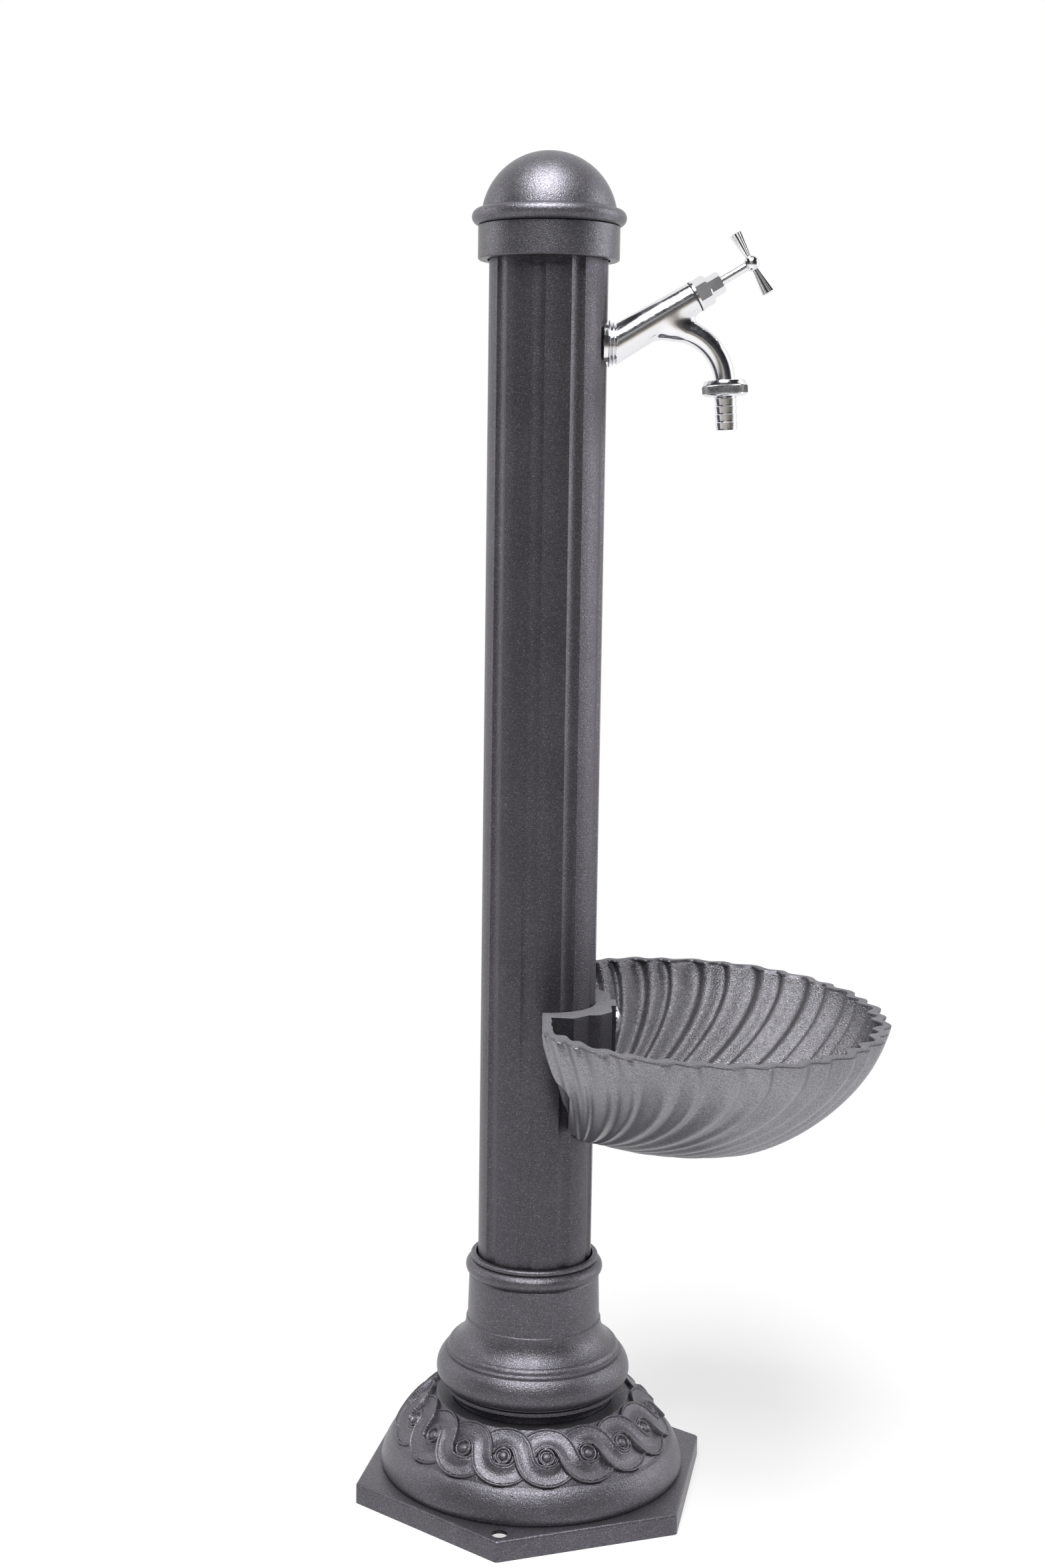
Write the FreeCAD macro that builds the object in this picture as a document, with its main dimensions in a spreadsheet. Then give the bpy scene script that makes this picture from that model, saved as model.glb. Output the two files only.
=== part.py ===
"""Column fountain with basin.

A fluted column stands in a turned pedestal on a hexagonal base with a domed bell. It carries a dome
cap, a bib tap with a hose union, and a cast shell basin that hugs the column below the tap.
Millimetres, +Z up. The origin is on the column's axis at the underside of the base plate, and the
tap and the basin point to +X.
"""
import FreeCAD, Part
import math
import os

import Sketcher

from FreeCAD import Placement, Rotation, Vector

doc = FreeCAD.newDocument("ColumnFountain")

SIZES = {
    # Base casting: plate and bell
    "plate_thickness": 14.5,
    "plate_margin": 22.3,
    "plate_turn": 20,
    "plate_round": 1.8,
    "bolt_hole_radius": 5.5,
    "bolt_circle_margin": 10.3,
    "bell_foot_radius": 107.7,
    "bell_undercut": 1.1,
    "bell_skirt_rise": 22.3,
    "bell_band_inset": 8.6,
    "bell_skirt_bow": 32,
    "bell_band_bow": 95,
    "bell_wall": 7,
    "bell_lip": 13,
    "bell_lip_rise": 5.5,
    "bell_cove": 3,
    "web_thickness": 6,
    "seat_height": 62,
    # Pedestal, its radii as reach beyond the column, its levels above its foot
    "foot_reach": 17,
    "foot_width": 6,
    "foot_rise": 5,
    "cove_round": 6.5,
    "ring_reach": 22.4,
    "ring_low": 10.6,
    "ring_width": 2.4,
    "neck_reach": 21.2,
    "neck_width": 1.6,
    "torus_low": 15.4,
    "torus_low_reach": 24,
    "torus_reach": 28.5,
    "torus_mid": 24,
    "torus_high": 36.4,
    "torus_high_reach": 22.9,
    "torus_low_round": 9.5,
    "torus_high_round": 17,
    "bead_reach": 21.6,
    "bead_depth": 1.2,
    "bead_high": 39.2,
    "lip_high": 43.2,
    "lip_reach": 17.2,
    "lip_round": 4,
    "flare_high": 60.3,
    "flare_reach": 7.7,
    "step_depth": 0.9,
    "band_taper": 0.9,
    "band_length": 32,
    "collar_torus_high": 103.4,
    "collar_torus_reach": 5.2,
    "collar_torus_round": 5.45,
    "collar_groove": 1.2,
    "collar_lip_reach": 4.8,
    "pedestal_height": 107.7,
    "ledge_rise": 63,
    "ledge_width": 5,
    "ledge_thickness": 6,
    "pedestal_wall": 6.4,
    # Column
    "column_radius": 40,
    "column_wall": 3,
    "column_length": 755,
    "flute_count": 9,
    "flute_radius": 11.4,
    "flute_depth": 1.6,
    "column_guide_gap": 0.35,
    "column_mouth_gap": 1.3,
    # Dome cap
    "cap_skirt_reach": 7.4,
    "cap_skirt_length": 23.5,
    "cap_skirt_gap": 1.2,
    "cap_ledge_width": 6,
    "cap_torus_round": 5.4,
    "cap_torus_reach": 6.3,
    "cap_torus_rise": 4.3,
    "dome_reach": 5.6,
    "dome_rise": 2.2,
    "dome_wall": 4.5,
    "cap_boss_radius": 9,
    "cap_boss_drop": 30,
    # Tie rod
    "rod_radius": 4,
    "rod_offset": 12,
    "rod_fit": 0.05,
    "rod_tail": 14,
    "rod_grip": 20,
    "rod_nut_flats": 13,
    "rod_nut_height": 6.5,
    "rod_washer_radius": 9,
    "rod_washer_thickness": 1.6,
    "rod_hole_gap": 0.5,
    # Supply pipe and its fittings
    "pipe_radius": 7.5,
    "pipe_wall": 1,
    "pipe_offset": 16,
    "pipe_fit": 0.05,
    "pipe_socket": 10,
    "thread_radius": 10.4,
    "thread_hole_gap": 0.3,
    "thread_fit": 0.05,
    "inlet_length": 46,
    "inlet_shank_radius": 11.2,
    "inlet_thread_end_gap": 1.5,
    "inlet_flange_radius": 15,
    "inlet_flange_thickness": 4,
    "compression_radius": 9.5,
    "compression_length": 12,
    "lock_nut_flats": 27,
    "lock_nut_height": 6,
    "pipe_nut_flats": 22,
    "pipe_nut_cover": 4,
    "passage_radius": 5,
    "elbow_radius": 11.6,
    "elbow_socket_radius": 13.2,
    "elbow_drop": 24,
    "backing_radius": 14,
    "backing_inner": 29.5,
    # Tap
    "tap_rise": 31,
    "tap_below_top": 77.6,
    "nipple_depth": 28,
    "rosette_radius": 15.7,
    "rosette_face_radius": 14.3,
    "rosette_rim": 2.6,
    "rosette_depth": 5.6,
    "barrel_root_radius": 12.1,
    "barrel_end_radius": 10.6,
    "barrel_length": 61.2,
    "chamber_radius": 8,
    "seat_along": 33,
    "spout_reach": 73.9,
    "spout_bend": 36.5,
    "spout_drop": 26.4,
    "spout_sweep": 111,
    "spout_bore_sweep": 89.5,
    "spout_radius": 6.9,
    "spout_lean": 3.5,
    "spout_flare": 0.9,
    "union_thread_radius": 12.8,
    "union_thread_length": 6,
    "union_top": 0.6,
    "union_seal_thickness": 1.6,
    "union_flange_thickness": 1.3,
    "union_flange_radius": 11.9,
    "union_nut_radius": 15.5,
    "union_nut_top_radius": 13.8,
    "union_nut_foot_radius": 12.9,
    "union_nut_height": 10.7,
    "union_knurl_low": 2.4,
    "union_knurl_height": 5.6,
    "union_knurl_teeth": 100,
    "union_knurl_depth": 0.3,
    "tail_radius": 7.15,
    "tail_barb": 0.5,
    "tail_barbs": 4,
    "tail_barb_pitch": 5.3,
    "tail_bore": 4.8,
    "tail_plain": 2.4,
    "union_foot_thickness": 1.4,
    "union_foot_gap": 0.3,
    "union_fit": 0.05,
    # Bonnet, gland, spindle and valve
    "bonnet_flange_radius": 11.1,
    "bonnet_flange_thickness": 2,
    "bonnet_flats": 18,
    "bonnet_hex_length": 9.2,
    "bonnet_thread_radius": 7.95,
    "bonnet_thread_length": 10,
    "bonnet_neck_radius": 5.5,
    "bonnet_neck_length": 4.7,
    "bonnet_seal_thickness": 0.5,
    "packing_depth": 3.5,
    "packing_radius": 4.85,
    "gland_flats": 13,
    "gland_length": 9.3,
    "stem_radius": 3.1,
    "stem_fit": 0.05,
    "spindle_thread_radius": 4.5,
    "spindle_thread_length": 23,
    "spindle_shoulder": 1.4,
    "carrier_radius": 6.5,
    "carrier_thickness": 3,
    "carrier_pin_radius": 2,
    "carrier_pin_length": 8.5,
    "valve_washer_radius": 6.3,
    "valve_washer_thickness": 2.5,
    # Handle
    "ball_along": 104.8,
    "ball_radius": 5.4,
    "ball_socket": 4,
    "arm_length": 22.1,
    "arm_root_radius": 1.95,
    "arm_tip_radius": 4.3,
    "arm_start": 4.6,
    "arm_tenon_radius": 1.3,
    "arm_tenon_length": 2,
    "arm_flutes": 8,
    "arm_flute_share": 0.16,
    # Basin, in its own upright frame, tipped forward about its saddle
    "basin_above_foot": 226,
    "basin_tip_down": 2,
    "basin_depth": 96,
    "basin_front": 201.5,
    "basin_half_width": 158,
    "basin_middle": 75,
    "basin_back": 37,
    "basin_hinge_inset": 2,
    "basin_front_power": 2,
    "basin_back_power": 2.4,
    "basin_keel_share": 0.5,
    "basin_keel_back": 0.075,
    "basin_keel_fan": 78,
    "basin_bow": 1.5,
    "basin_relief_top": 6,
    "basin_relief_fold": 13,
    "basin_relief_drop": 40,
    "basin_relief_front": 22,
    "basin_wall": 6.5,
    "basin_flute_step": 14,
    "basin_flute_spread": 0.62,
    "basin_narrow_flute": 5.5,
    "basin_wide_bulge": 3.4,
    "basin_narrow_bulge": 2,
    "saddle_gap": 0.3,
    "saddle_front": 11,
    "saddle_shoulder": 13,
    "saddle_cheek": 1,
    "saddle_front_half": 30,
    "saddle_back": 31,
    "pillar_front": 14.5,
    "pillar_half_width": 9.5,
    "basin_bolt_drop": 13,
    "basin_bolt_radius": 5,
    "basin_bolt_hole_gap": 0.3,
    "basin_bolt_head_radius": 8.8,
    "basin_bolt_head_height": 3.2,
    "basin_washer_radius": 9.6,
    "basin_washer_thickness": 1,
    "basin_nut_flats": 17,
    "basin_nut_height": 6,
    "basin_backing_radius": 11,
    "basin_backing_inner": 34,
    "basin_bolt_spare": 1,
}

sheet = doc.addObject("Spreadsheet::Sheet", "Size")
for row, (alias, amount) in enumerate(SIZES.items(), start=1):
    sheet.set("A%d" % row, alias)
    sheet.set("B%d" % row, str(amount))
    sheet.setAlias("B%d" % row, alias)
doc.recompute()


def size(alias):
    """The number that the sheet holds under an alias."""
    return float(sheet.get(alias))


def numbers(texts):
    """What a list of expressions on the sheet comes to."""
    probe = doc.addObject("App::FeaturePython", "Probe")
    for index, text in enumerate(texts):
        probe.addProperty("App::PropertyFloat", "value%d" % index)
        probe.setExpression("value%d" % index, text)
    probe.recompute()
    found = [getattr(probe, "value%d" % index) for index in range(len(texts))]
    doc.removeObject(probe.Name)
    return found


def place(item, x="0", z="0", turn="0", axis=(0, 1, 0)):
    """Puts an object at (x, 0, z), turned about an axis, all bound to the sheet."""
    x_now, z_now, turn_now = numbers([x, z, turn])
    item.Placement = Placement(Vector(x_now, 0, z_now), Rotation(Vector(*axis), turn_now))
    item.setExpression("Placement.Base.x", x)
    item.setExpression("Placement.Base.z", z)
    if turn != "0":
        item.setExpression("Placement.Rotation.Angle", turn)
    return item


def solid(kind, name, x="0", z="0", turn="0", axis=(0, 1, 0), **sizes):
    """A Part primitive with its sizes bound to the sheet."""
    item = doc.addObject("Part::" + kind, name)
    if kind == "Prism":
        item.Polygon = 6
    for key, text in sizes.items():
        item.setExpression(key, text)
    return place(item, x, z, turn, axis)


def join(name, *pieces):
    """The union of several objects."""
    item = doc.addObject("Part::MultiFuse", name)
    item.Shapes = list(pieces)
    item.Refine = True
    return item


def cut(name, base, *tools):
    """An object less one or more tools, one after the other."""
    for index, tool in enumerate(tools, start=1):
        last = index == len(tools)
        item = doc.addObject("Part::Cut", name if last else "%s_cut_%d" % (name, index))
        item.Base = base
        item.Tool = tool
        item.Refine = last
        base = item
    return base


def made(name, shape, placement=None):
    """A sub-part whose shape is worked out here from the sheet's sizes."""
    item = doc.addObject("Part::Feature", name)
    item.Shape = shape
    if placement is not None:
        item.Placement = placement
    return item


def add_outline(sketch, outline):
    """Draws a closed outline of lines and arcs, each corner and radius bound to the sheet.

    A corner is (radius, height), or (radius, height, bend, side) when an arc of that radius leads to
    it from the corner before: side 1 turns to the left of the way there, side -1 to the right.
    """
    spots = numbers([text for corner in outline for text in corner[:2]])
    spots = [Vector(spots[2 * i], spots[2 * i + 1], 0) for i in range(len(outline))]
    for index, corner in enumerate(outline):
        start, end = spots[index - 1], spots[index]
        if len(corner) == 2:
            sketch.addGeometry(Part.LineSegment(start, end), False)
            continue
        bend = numbers([corner[2]])[0]
        chord = end - start
        reach = math.sqrt(max(bend ** 2 - (chord.Length / 2) ** 2, 0))
        left = Vector(-chord.y, chord.x, 0).normalize()
        centre = (start + end) * 0.5 + left * reach * corner[3]
        middle = centre - left * bend * corner[3]
        sketch.addGeometry(Part.Arc(start, middle, end), False)
    for index, corner in enumerate(outline):
        following = (index + 1) % len(outline)
        here = 1 if (sketch.getPoint(index, 1) - spots[index]).Length < 1e-6 else 2
        there = 1 if (sketch.getPoint(following, 1) - spots[index]).Length < 1e-6 else 2
        sketch.addConstraint(Sketcher.Constraint("Coincident", index, here, following, there))
        for side, kind, across in ((0, "DistanceX", -2), (1, "DistanceY", -1)):
            if corner[side] == "0":
                sketch.addConstraint(Sketcher.Constraint("PointOnObject", index, here, across))
                continue
            amount = spots[index][side]
            rule = sketch.addConstraint(Sketcher.Constraint(kind, -1, 1, index, here, amount))
            sketch.setExpression("Constraints[%d]" % rule, corner[side])
        if len(corner) == 4:
            bend = numbers([corner[2]])[0]
            rule = sketch.addConstraint(Sketcher.Constraint("Radius", index, bend))
            sketch.setExpression("Constraints[%d]" % rule, corner[2])


def plane_of(body, role):
    """One of a body's own origin planes."""
    return [item for item in body.Origin.OriginFeatures if item.Role == role][0]


def turned(name, outline, x="0", z="0", turn="0"):
    """A body turned from a closed outline of (radius, height) corners about its own Z axis."""
    body = doc.addObject("PartDesign::Body", name)
    sketch = body.newObject("Sketcher::SketchObject", name + "_outline")
    sketch.AttachmentSupport = [(plane_of(body, "XZ_Plane"), "")]
    sketch.MapMode = "FlatFace"
    add_outline(sketch, outline)
    around = body.newObject("PartDesign::Revolution", name + "_turning")
    around.Profile = sketch
    around.ReferenceAxis = (sketch, ["V_Axis"])
    around.Angle = 360
    return place(body, x, z, turn)


def ring(name, inner, outer, low, high, x="0", z="0", turn="0"):
    """A plain ring or washer between two heights."""
    corners = [(inner, low), (outer, low), (outer, high), (inner, high)]
    return turned(name, corners, x, z, turn)


def nut(name, flats, height, hole, x="0", z="0", turn="0", facing=0):
    """A hexagonal nut with a plain bore, its corners turned by `facing` degrees."""
    blank = solid("Prism", name + "_blank", Circumradius=flats + " / (2 * cos(30))", Height=height)
    blank.Placement = Placement(Vector(0, 0, 0), Rotation(Vector(0, 0, 1), facing))
    crown = solid("Cone", name + "_crown", Radius1=flats + " / 2 + " + height,
                  Radius2=flats + " / 2", Height=height)
    shaped = doc.addObject("Part::Common", name + "_shaped")
    shaped.Base = blank
    shaped.Tool = crown
    bore = solid("Cylinder", name + "_bore", Radius=hole, Height=height)
    return place(cut(name, shaped, bore), x, z, turn)


# Levels and reaches that several pieces share
SEAT = "Size.seat_height"
COLUMN_FOOT = "(Size.seat_height + Size.ledge_rise)"
COLUMN_TOP = "(Size.seat_height + Size.ledge_rise + Size.column_length)"
TAP_LEVEL = "(Size.seat_height + Size.ledge_rise + Size.column_length - Size.tap_below_top)"
RIM_LEVEL = "(Size.seat_height + Size.ledge_rise + Size.basin_above_foot)"
BOLT_LEVEL = "(Size.seat_height + Size.ledge_rise + Size.basin_above_foot - Size.basin_bolt_drop)"
COLUMN_INSIDE = "(Size.column_radius - Size.column_wall)"
WEB_UNDER = "(Size.seat_height - Size.web_thickness)"


def reach(alias):
    """A radius given as its reach beyond the column."""
    return "Size.column_radius + Size." + alias


def above_seat(alias):
    """A level given as its height above the pedestal's seat."""
    return "Size.seat_height + Size." + alias


def make_base():
    """Hexagonal plate with the domed bell on it, hollow underneath, with a web for the pedestal."""
    corner = "Size.bell_foot_radius + Size.plate_margin"
    blank = solid("Prism", "plate_blank", turn="Size.plate_turn", axis=(0, 0, 1),
                  Circumradius=corner, Height="Size.plate_thickness")
    doc.recompute()
    plate = doc.addObject("Part::Fillet", "plate")
    plate.Base = blank
    bend = size("plate_round")
    rounded = [index for index, edge in enumerate(blank.Shape.Edges, start=1)
               if edge.BoundBox.ZMax > size("plate_thickness") / 2]
    plate.Edges = [(index, bend, bend) for index in rounded]
    lip = reach("bell_lip") + " + Size.foot_reach"
    band_foot = "Size.bell_foot_radius - Size.bell_band_inset"
    band_level = "Size.plate_thickness + Size.bell_skirt_rise"
    bell = turned("bell", [
        ("0", "Size.plate_thickness / 2"),
        ("Size.bell_foot_radius - Size.bell_undercut", "Size.plate_thickness / 2"),
        ("Size.bell_foot_radius - Size.bell_undercut", "Size.plate_thickness"),
        ("Size.bell_foot_radius", "Size.plate_thickness + Size.bell_undercut * 3"),
        (band_foot, band_level, "Size.bell_skirt_bow", 1),
        (band_foot + " - 0.8", band_level),
        (lip, above_seat("bell_lip_rise"), "Size.bell_band_bow", 1),
        (lip + " - Size.bell_cove", above_seat("bell_lip_rise")),
        (lip + " - Size.bell_cove * 2", SEAT),
        ("0", SEAT)])
    inner_foot = "Size.bell_foot_radius - Size.bell_wall"
    inner_top = lip + " - Size.bell_wall"
    hollow = turned("hollow", [
        ("0", "-Size.plate_thickness"),
        (inner_foot, "-Size.plate_thickness"),
        (inner_foot, "Size.plate_thickness / 2"),
        (band_foot + " - Size.bell_wall", band_level + " - Size.bell_wall"),
        (inner_top + " + 3", WEB_UNDER),
        ("0", WEB_UNDER)])
    rod_hole = solid("Cylinder", "rod_hole", x="-Size.rod_offset", Height=SEAT + " * 2",
                     Radius="Size.rod_radius + Size.rod_hole_gap")
    inlet_hole = solid("Cylinder", "inlet_hole", x="Size.pipe_offset", Height=SEAT + " * 2",
                       Radius="Size.inlet_shank_radius + Size.thread_hole_gap")
    bolt_holes = []
    for side in (1, -1):
        hole = solid("Cylinder", "bolt_hole_%d" % (side + 2), Radius="Size.bolt_hole_radius",
                     Height="Size.plate_thickness * 3")
        for key, wave in (("x", "cos"), ("y", "sin")):
            hole.setExpression("Placement.Base." + key, "%d * (Size.bell_foot_radius + "
                               "Size.bolt_circle_margin) * %s(Size.plate_turn + 60)" % (side, wave))
        hole.setExpression("Placement.Base.z", "-Size.plate_thickness")
        bolt_holes.append(hole)
    cut("base_flange", join("base_blank", plate, bell), hollow, rod_hole, inlet_hole, *bolt_holes)


def make_pedestal():
    """Turned casting: collar with a ring, plain band, flare and a bold ring, open inside."""
    ledge = above_seat("ledge_rise")
    wall = " - Size.pedestal_wall"
    turned("pedestal", [
        (reach("foot_reach") + " - Size.foot_width", SEAT),
        (reach("foot_reach"), SEAT),
        (reach("foot_reach"), above_seat("foot_rise")),
        (reach("ring_reach"), above_seat("ring_low"), "Size.cove_round", -1),
        (reach("ring_reach"), above_seat("ring_low") + " + Size.ring_width"),
        (reach("neck_reach"), above_seat("ring_low") + " + Size.ring_width * 1.3"),
        (reach("neck_reach"), above_seat("ring_low") + " + Size.ring_width + Size.neck_width"),
        (reach("torus_low_reach"), above_seat("torus_low")),
        (reach("torus_reach"), above_seat("torus_mid"), "Size.torus_low_round", 1),
        (reach("torus_high_reach"), above_seat("torus_high"), "Size.torus_high_round", 1),
        (reach("torus_high_reach") + " - Size.bead_depth", above_seat("torus_high") + " + 0.4"),
        (reach("bead_reach") + " + Size.bead_depth / 4", above_seat("torus_high") + " + 1.8"),
        (reach("bead_reach") + " - Size.bead_depth", above_seat("bead_high")),
        (reach("lip_reach") + " + Size.lip_round * 0.8", above_seat("bead_high") + " + 0.8"),
        (reach("lip_reach"), above_seat("lip_high"), "Size.lip_round", 1),
        (reach("flare_reach"), above_seat("flare_high"), "Size.flare_high - Size.lip_high + 3", -1),
        (reach("flare_reach") + " - Size.step_depth", above_seat("flare_high") + " + 0.6"),
        (reach("flare_reach") + " - Size.step_depth - Size.band_taper",
         above_seat("flare_high") + " + Size.band_length"),
        (reach("collar_torus_reach"), above_seat("flare_high") + " + Size.band_length + 1.2"),
        (reach("collar_torus_reach"), above_seat("collar_torus_high"), "Size.collar_torus_round", 1),
        (reach("collar_lip_reach") + " - Size.collar_groove", above_seat("collar_torus_high") + " + 0.6"),
        (reach("collar_lip_reach"), above_seat("collar_torus_high") + " + Size.collar_groove + 0.6"),
        (reach("collar_lip_reach"), above_seat("pedestal_height") + " - 0.8"),
        (reach("collar_lip_reach") + " - 0.9", above_seat("pedestal_height")),
        (reach("column_mouth_gap"), above_seat("pedestal_height")),
        (reach("column_mouth_gap"), above_seat("collar_torus_high") + " - Size.collar_torus_round"),
        (reach("column_guide_gap"), above_seat("collar_torus_high") + " - Size.collar_torus_round - 1.5"),
        (reach("column_guide_gap"), ledge),
        ("Size.column_radius - Size.ledge_width", ledge),
        ("Size.column_radius - Size.ledge_width", ledge + " - Size.ledge_thickness"),
        (reach("flare_reach") + wall + " + 1.5", above_seat("lip_high") + " + 8"),
        (reach("torus_high_reach") + wall + " - 2", above_seat("torus_high") + " - 2"),
        (reach("torus_reach") + wall + " - 1", above_seat("torus_mid")),
        (reach("neck_reach") + wall, above_seat("torus_low") + " - 1"),
        (reach("foot_reach") + " - Size.foot_width", above_seat("foot_rise") + " + 2")])


def make_column():
    """Extruded tube with shallow hollow flutes, drilled for the tap and the basin's bolt."""
    body = doc.addObject("PartDesign::Body", "column_blank")
    outline = body.newObject("Sketcher::SketchObject", "column_section")
    outline.AttachmentSupport = [(plane_of(body, "XY_Plane"), "")]
    outline.MapMode = "FlatFace"
    for index, text in enumerate(("Size.column_radius", COLUMN_INSIDE)):
        amount = numbers([text])[0]
        outline.addGeometry(Part.Circle(Vector(0, 0, 0), Vector(0, 0, 1), amount), False)
        outline.addConstraint(Sketcher.Constraint("Coincident", index, 3, -1, 1))
        rule = outline.addConstraint(Sketcher.Constraint("Radius", index, amount))
        outline.setExpression("Constraints[%d]" % rule, text)
    pad = body.newObject("PartDesign::Pad", "column_tube")
    pad.Profile = outline
    pad.setExpression("Length", "Size.column_length")
    flute_sketch = body.newObject("Sketcher::SketchObject", "flute_section")
    flute_sketch.AttachmentSupport = [(plane_of(body, "XY_Plane"), "")]
    flute_sketch.MapMode = "FlatFace"
    away = "Size.column_radius - Size.flute_depth + Size.flute_radius"
    away_now, bend = numbers([away, "Size.flute_radius"])
    flute_sketch.addGeometry(Part.Circle(Vector(-away_now, 0, 0), Vector(0, 0, 1), bend), False)
    flute_sketch.addConstraint(Sketcher.Constraint("PointOnObject", 0, 3, -1))
    rule = flute_sketch.addConstraint(Sketcher.Constraint("DistanceX", 0, 3, -1, 1, away_now))
    flute_sketch.setExpression("Constraints[%d]" % rule, away)
    rule = flute_sketch.addConstraint(Sketcher.Constraint("Radius", 0, bend))
    flute_sketch.setExpression("Constraints[%d]" % rule, "Size.flute_radius")
    flute = body.newObject("PartDesign::Pocket", "flute")
    flute.Profile = flute_sketch
    flute.Type = "ThroughAll"
    flute.Reversed = True
    around = body.newObject("PartDesign::PolarPattern", "flutes")
    around.Originals = [flute]
    around.Axis = (flute_sketch, ["N_Axis"])
    around.Angle = 360
    around.setExpression("Occurrences", "Size.flute_count")
    body.Tip = around
    place(body, z=COLUMN_FOOT)
    tap_hole = solid("Cylinder", "tap_hole", z=TAP_LEVEL, turn="90", Height="Size.column_radius * 1.5",
                     Radius="Size.thread_radius + Size.thread_hole_gap")
    basin_hole = solid("Cylinder", "basin_hole", z=BOLT_LEVEL, turn="90",
                       Height="Size.column_radius * 1.5",
                       Radius="Size.basin_bolt_radius + Size.basin_bolt_hole_gap")
    cut("column", body, tap_hole, basin_hole)


def make_cap():
    """Dome with a half-round ring and a skirt, and inside it a boss that takes the tie rod."""
    skirt = reach("cap_skirt_reach")
    neck = reach("cap_torus_reach")
    torus = COLUMN_TOP + " + Size.cap_torus_rise"
    dome = reach("dome_reach")
    centre = COLUMN_TOP + " + Size.dome_rise"
    bead = "Size.cap_torus_round"
    shell = turned("cap_shell", [
        ("0", centre + " + " + dome + " - Size.dome_wall"),
        ("(" + dome + " - Size.dome_wall) * 4 / 5", centre + " + (" + dome + " - Size.dome_wall) * 3 / 5",
         dome + " - Size.dome_wall", -1),
        ("Size.column_radius - Size.cap_ledge_width", COLUMN_TOP),
        (reach("cap_skirt_gap"), COLUMN_TOP),
        (reach("cap_skirt_gap"), COLUMN_TOP + " - Size.cap_skirt_length"),
        (skirt + " - 0.8", COLUMN_TOP + " - Size.cap_skirt_length"),
        (skirt, COLUMN_TOP + " - Size.cap_skirt_length + 0.8"),
        (skirt, torus + " - " + bead + " - 0.6"),
        (neck, torus + " - " + bead),
        (neck + " + 0.6 * " + bead, torus + " - 0.8 * " + bead, bead, 1),
        (neck + " + 0.6 * " + bead, torus + " + 0.8 * " + bead, bead, 1),
        (neck, torus + " + " + bead, bead, 1),
        ("(" + dome + ") * 60 / 61", centre + " + (" + dome + ") * 11 / 61"),
        ("0", centre + " + " + dome, dome, 1)])
    post = solid("Cylinder", "cap_post", x="-Size.rod_offset", Radius="Size.cap_boss_radius",
                 z=centre + " + " + dome + " - Size.dome_wall - Size.cap_boss_drop",
                 Height="Size.cap_boss_drop + Size.dome_wall")
    under = solid("Sphere", "cap_under", z=centre, Radius=dome + " - Size.dome_wall / 2")
    boss = doc.addObject("Part::Common", "cap_boss")
    boss.Base = post
    boss.Tool = under
    hole = solid("Cylinder", "cap_thread", x="-Size.rod_offset",
                 z=COLUMN_TOP, Radius="Size.rod_radius + Size.rod_fit",
                 Height=dome + " - Size.cap_boss_drop + Size.rod_grip")
    cut("dome_cap", join("cap_blank", shell, boss), hole)


def make_tie_rod():
    """Threaded rod beside the pipe, from the base's web up into the cap's boss."""
    foot = WEB_UNDER + " - Size.rod_tail"
    boss_foot = (COLUMN_TOP + " + Size.dome_rise + " + reach("dome_reach")
                 + " - Size.dome_wall - Size.cap_boss_drop")
    solid("Cylinder", "tie_rod", x="-Size.rod_offset", z=foot, Radius="Size.rod_radius",
          Height=boss_foot + " + Size.rod_grip - (" + foot + ")")
    ring("tie_rod_washer", "Size.rod_radius + Size.rod_fit * 4", "Size.rod_washer_radius",
         "-Size.rod_washer_thickness", "0", x="-Size.rod_offset", z=WEB_UNDER)
    nut("tie_rod_nut", "Size.rod_nut_flats", "Size.rod_nut_height", "Size.rod_radius + Size.rod_fit",
        x="-Size.rod_offset", z=WEB_UNDER + " - Size.rod_washer_thickness - Size.rod_nut_height")


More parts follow.
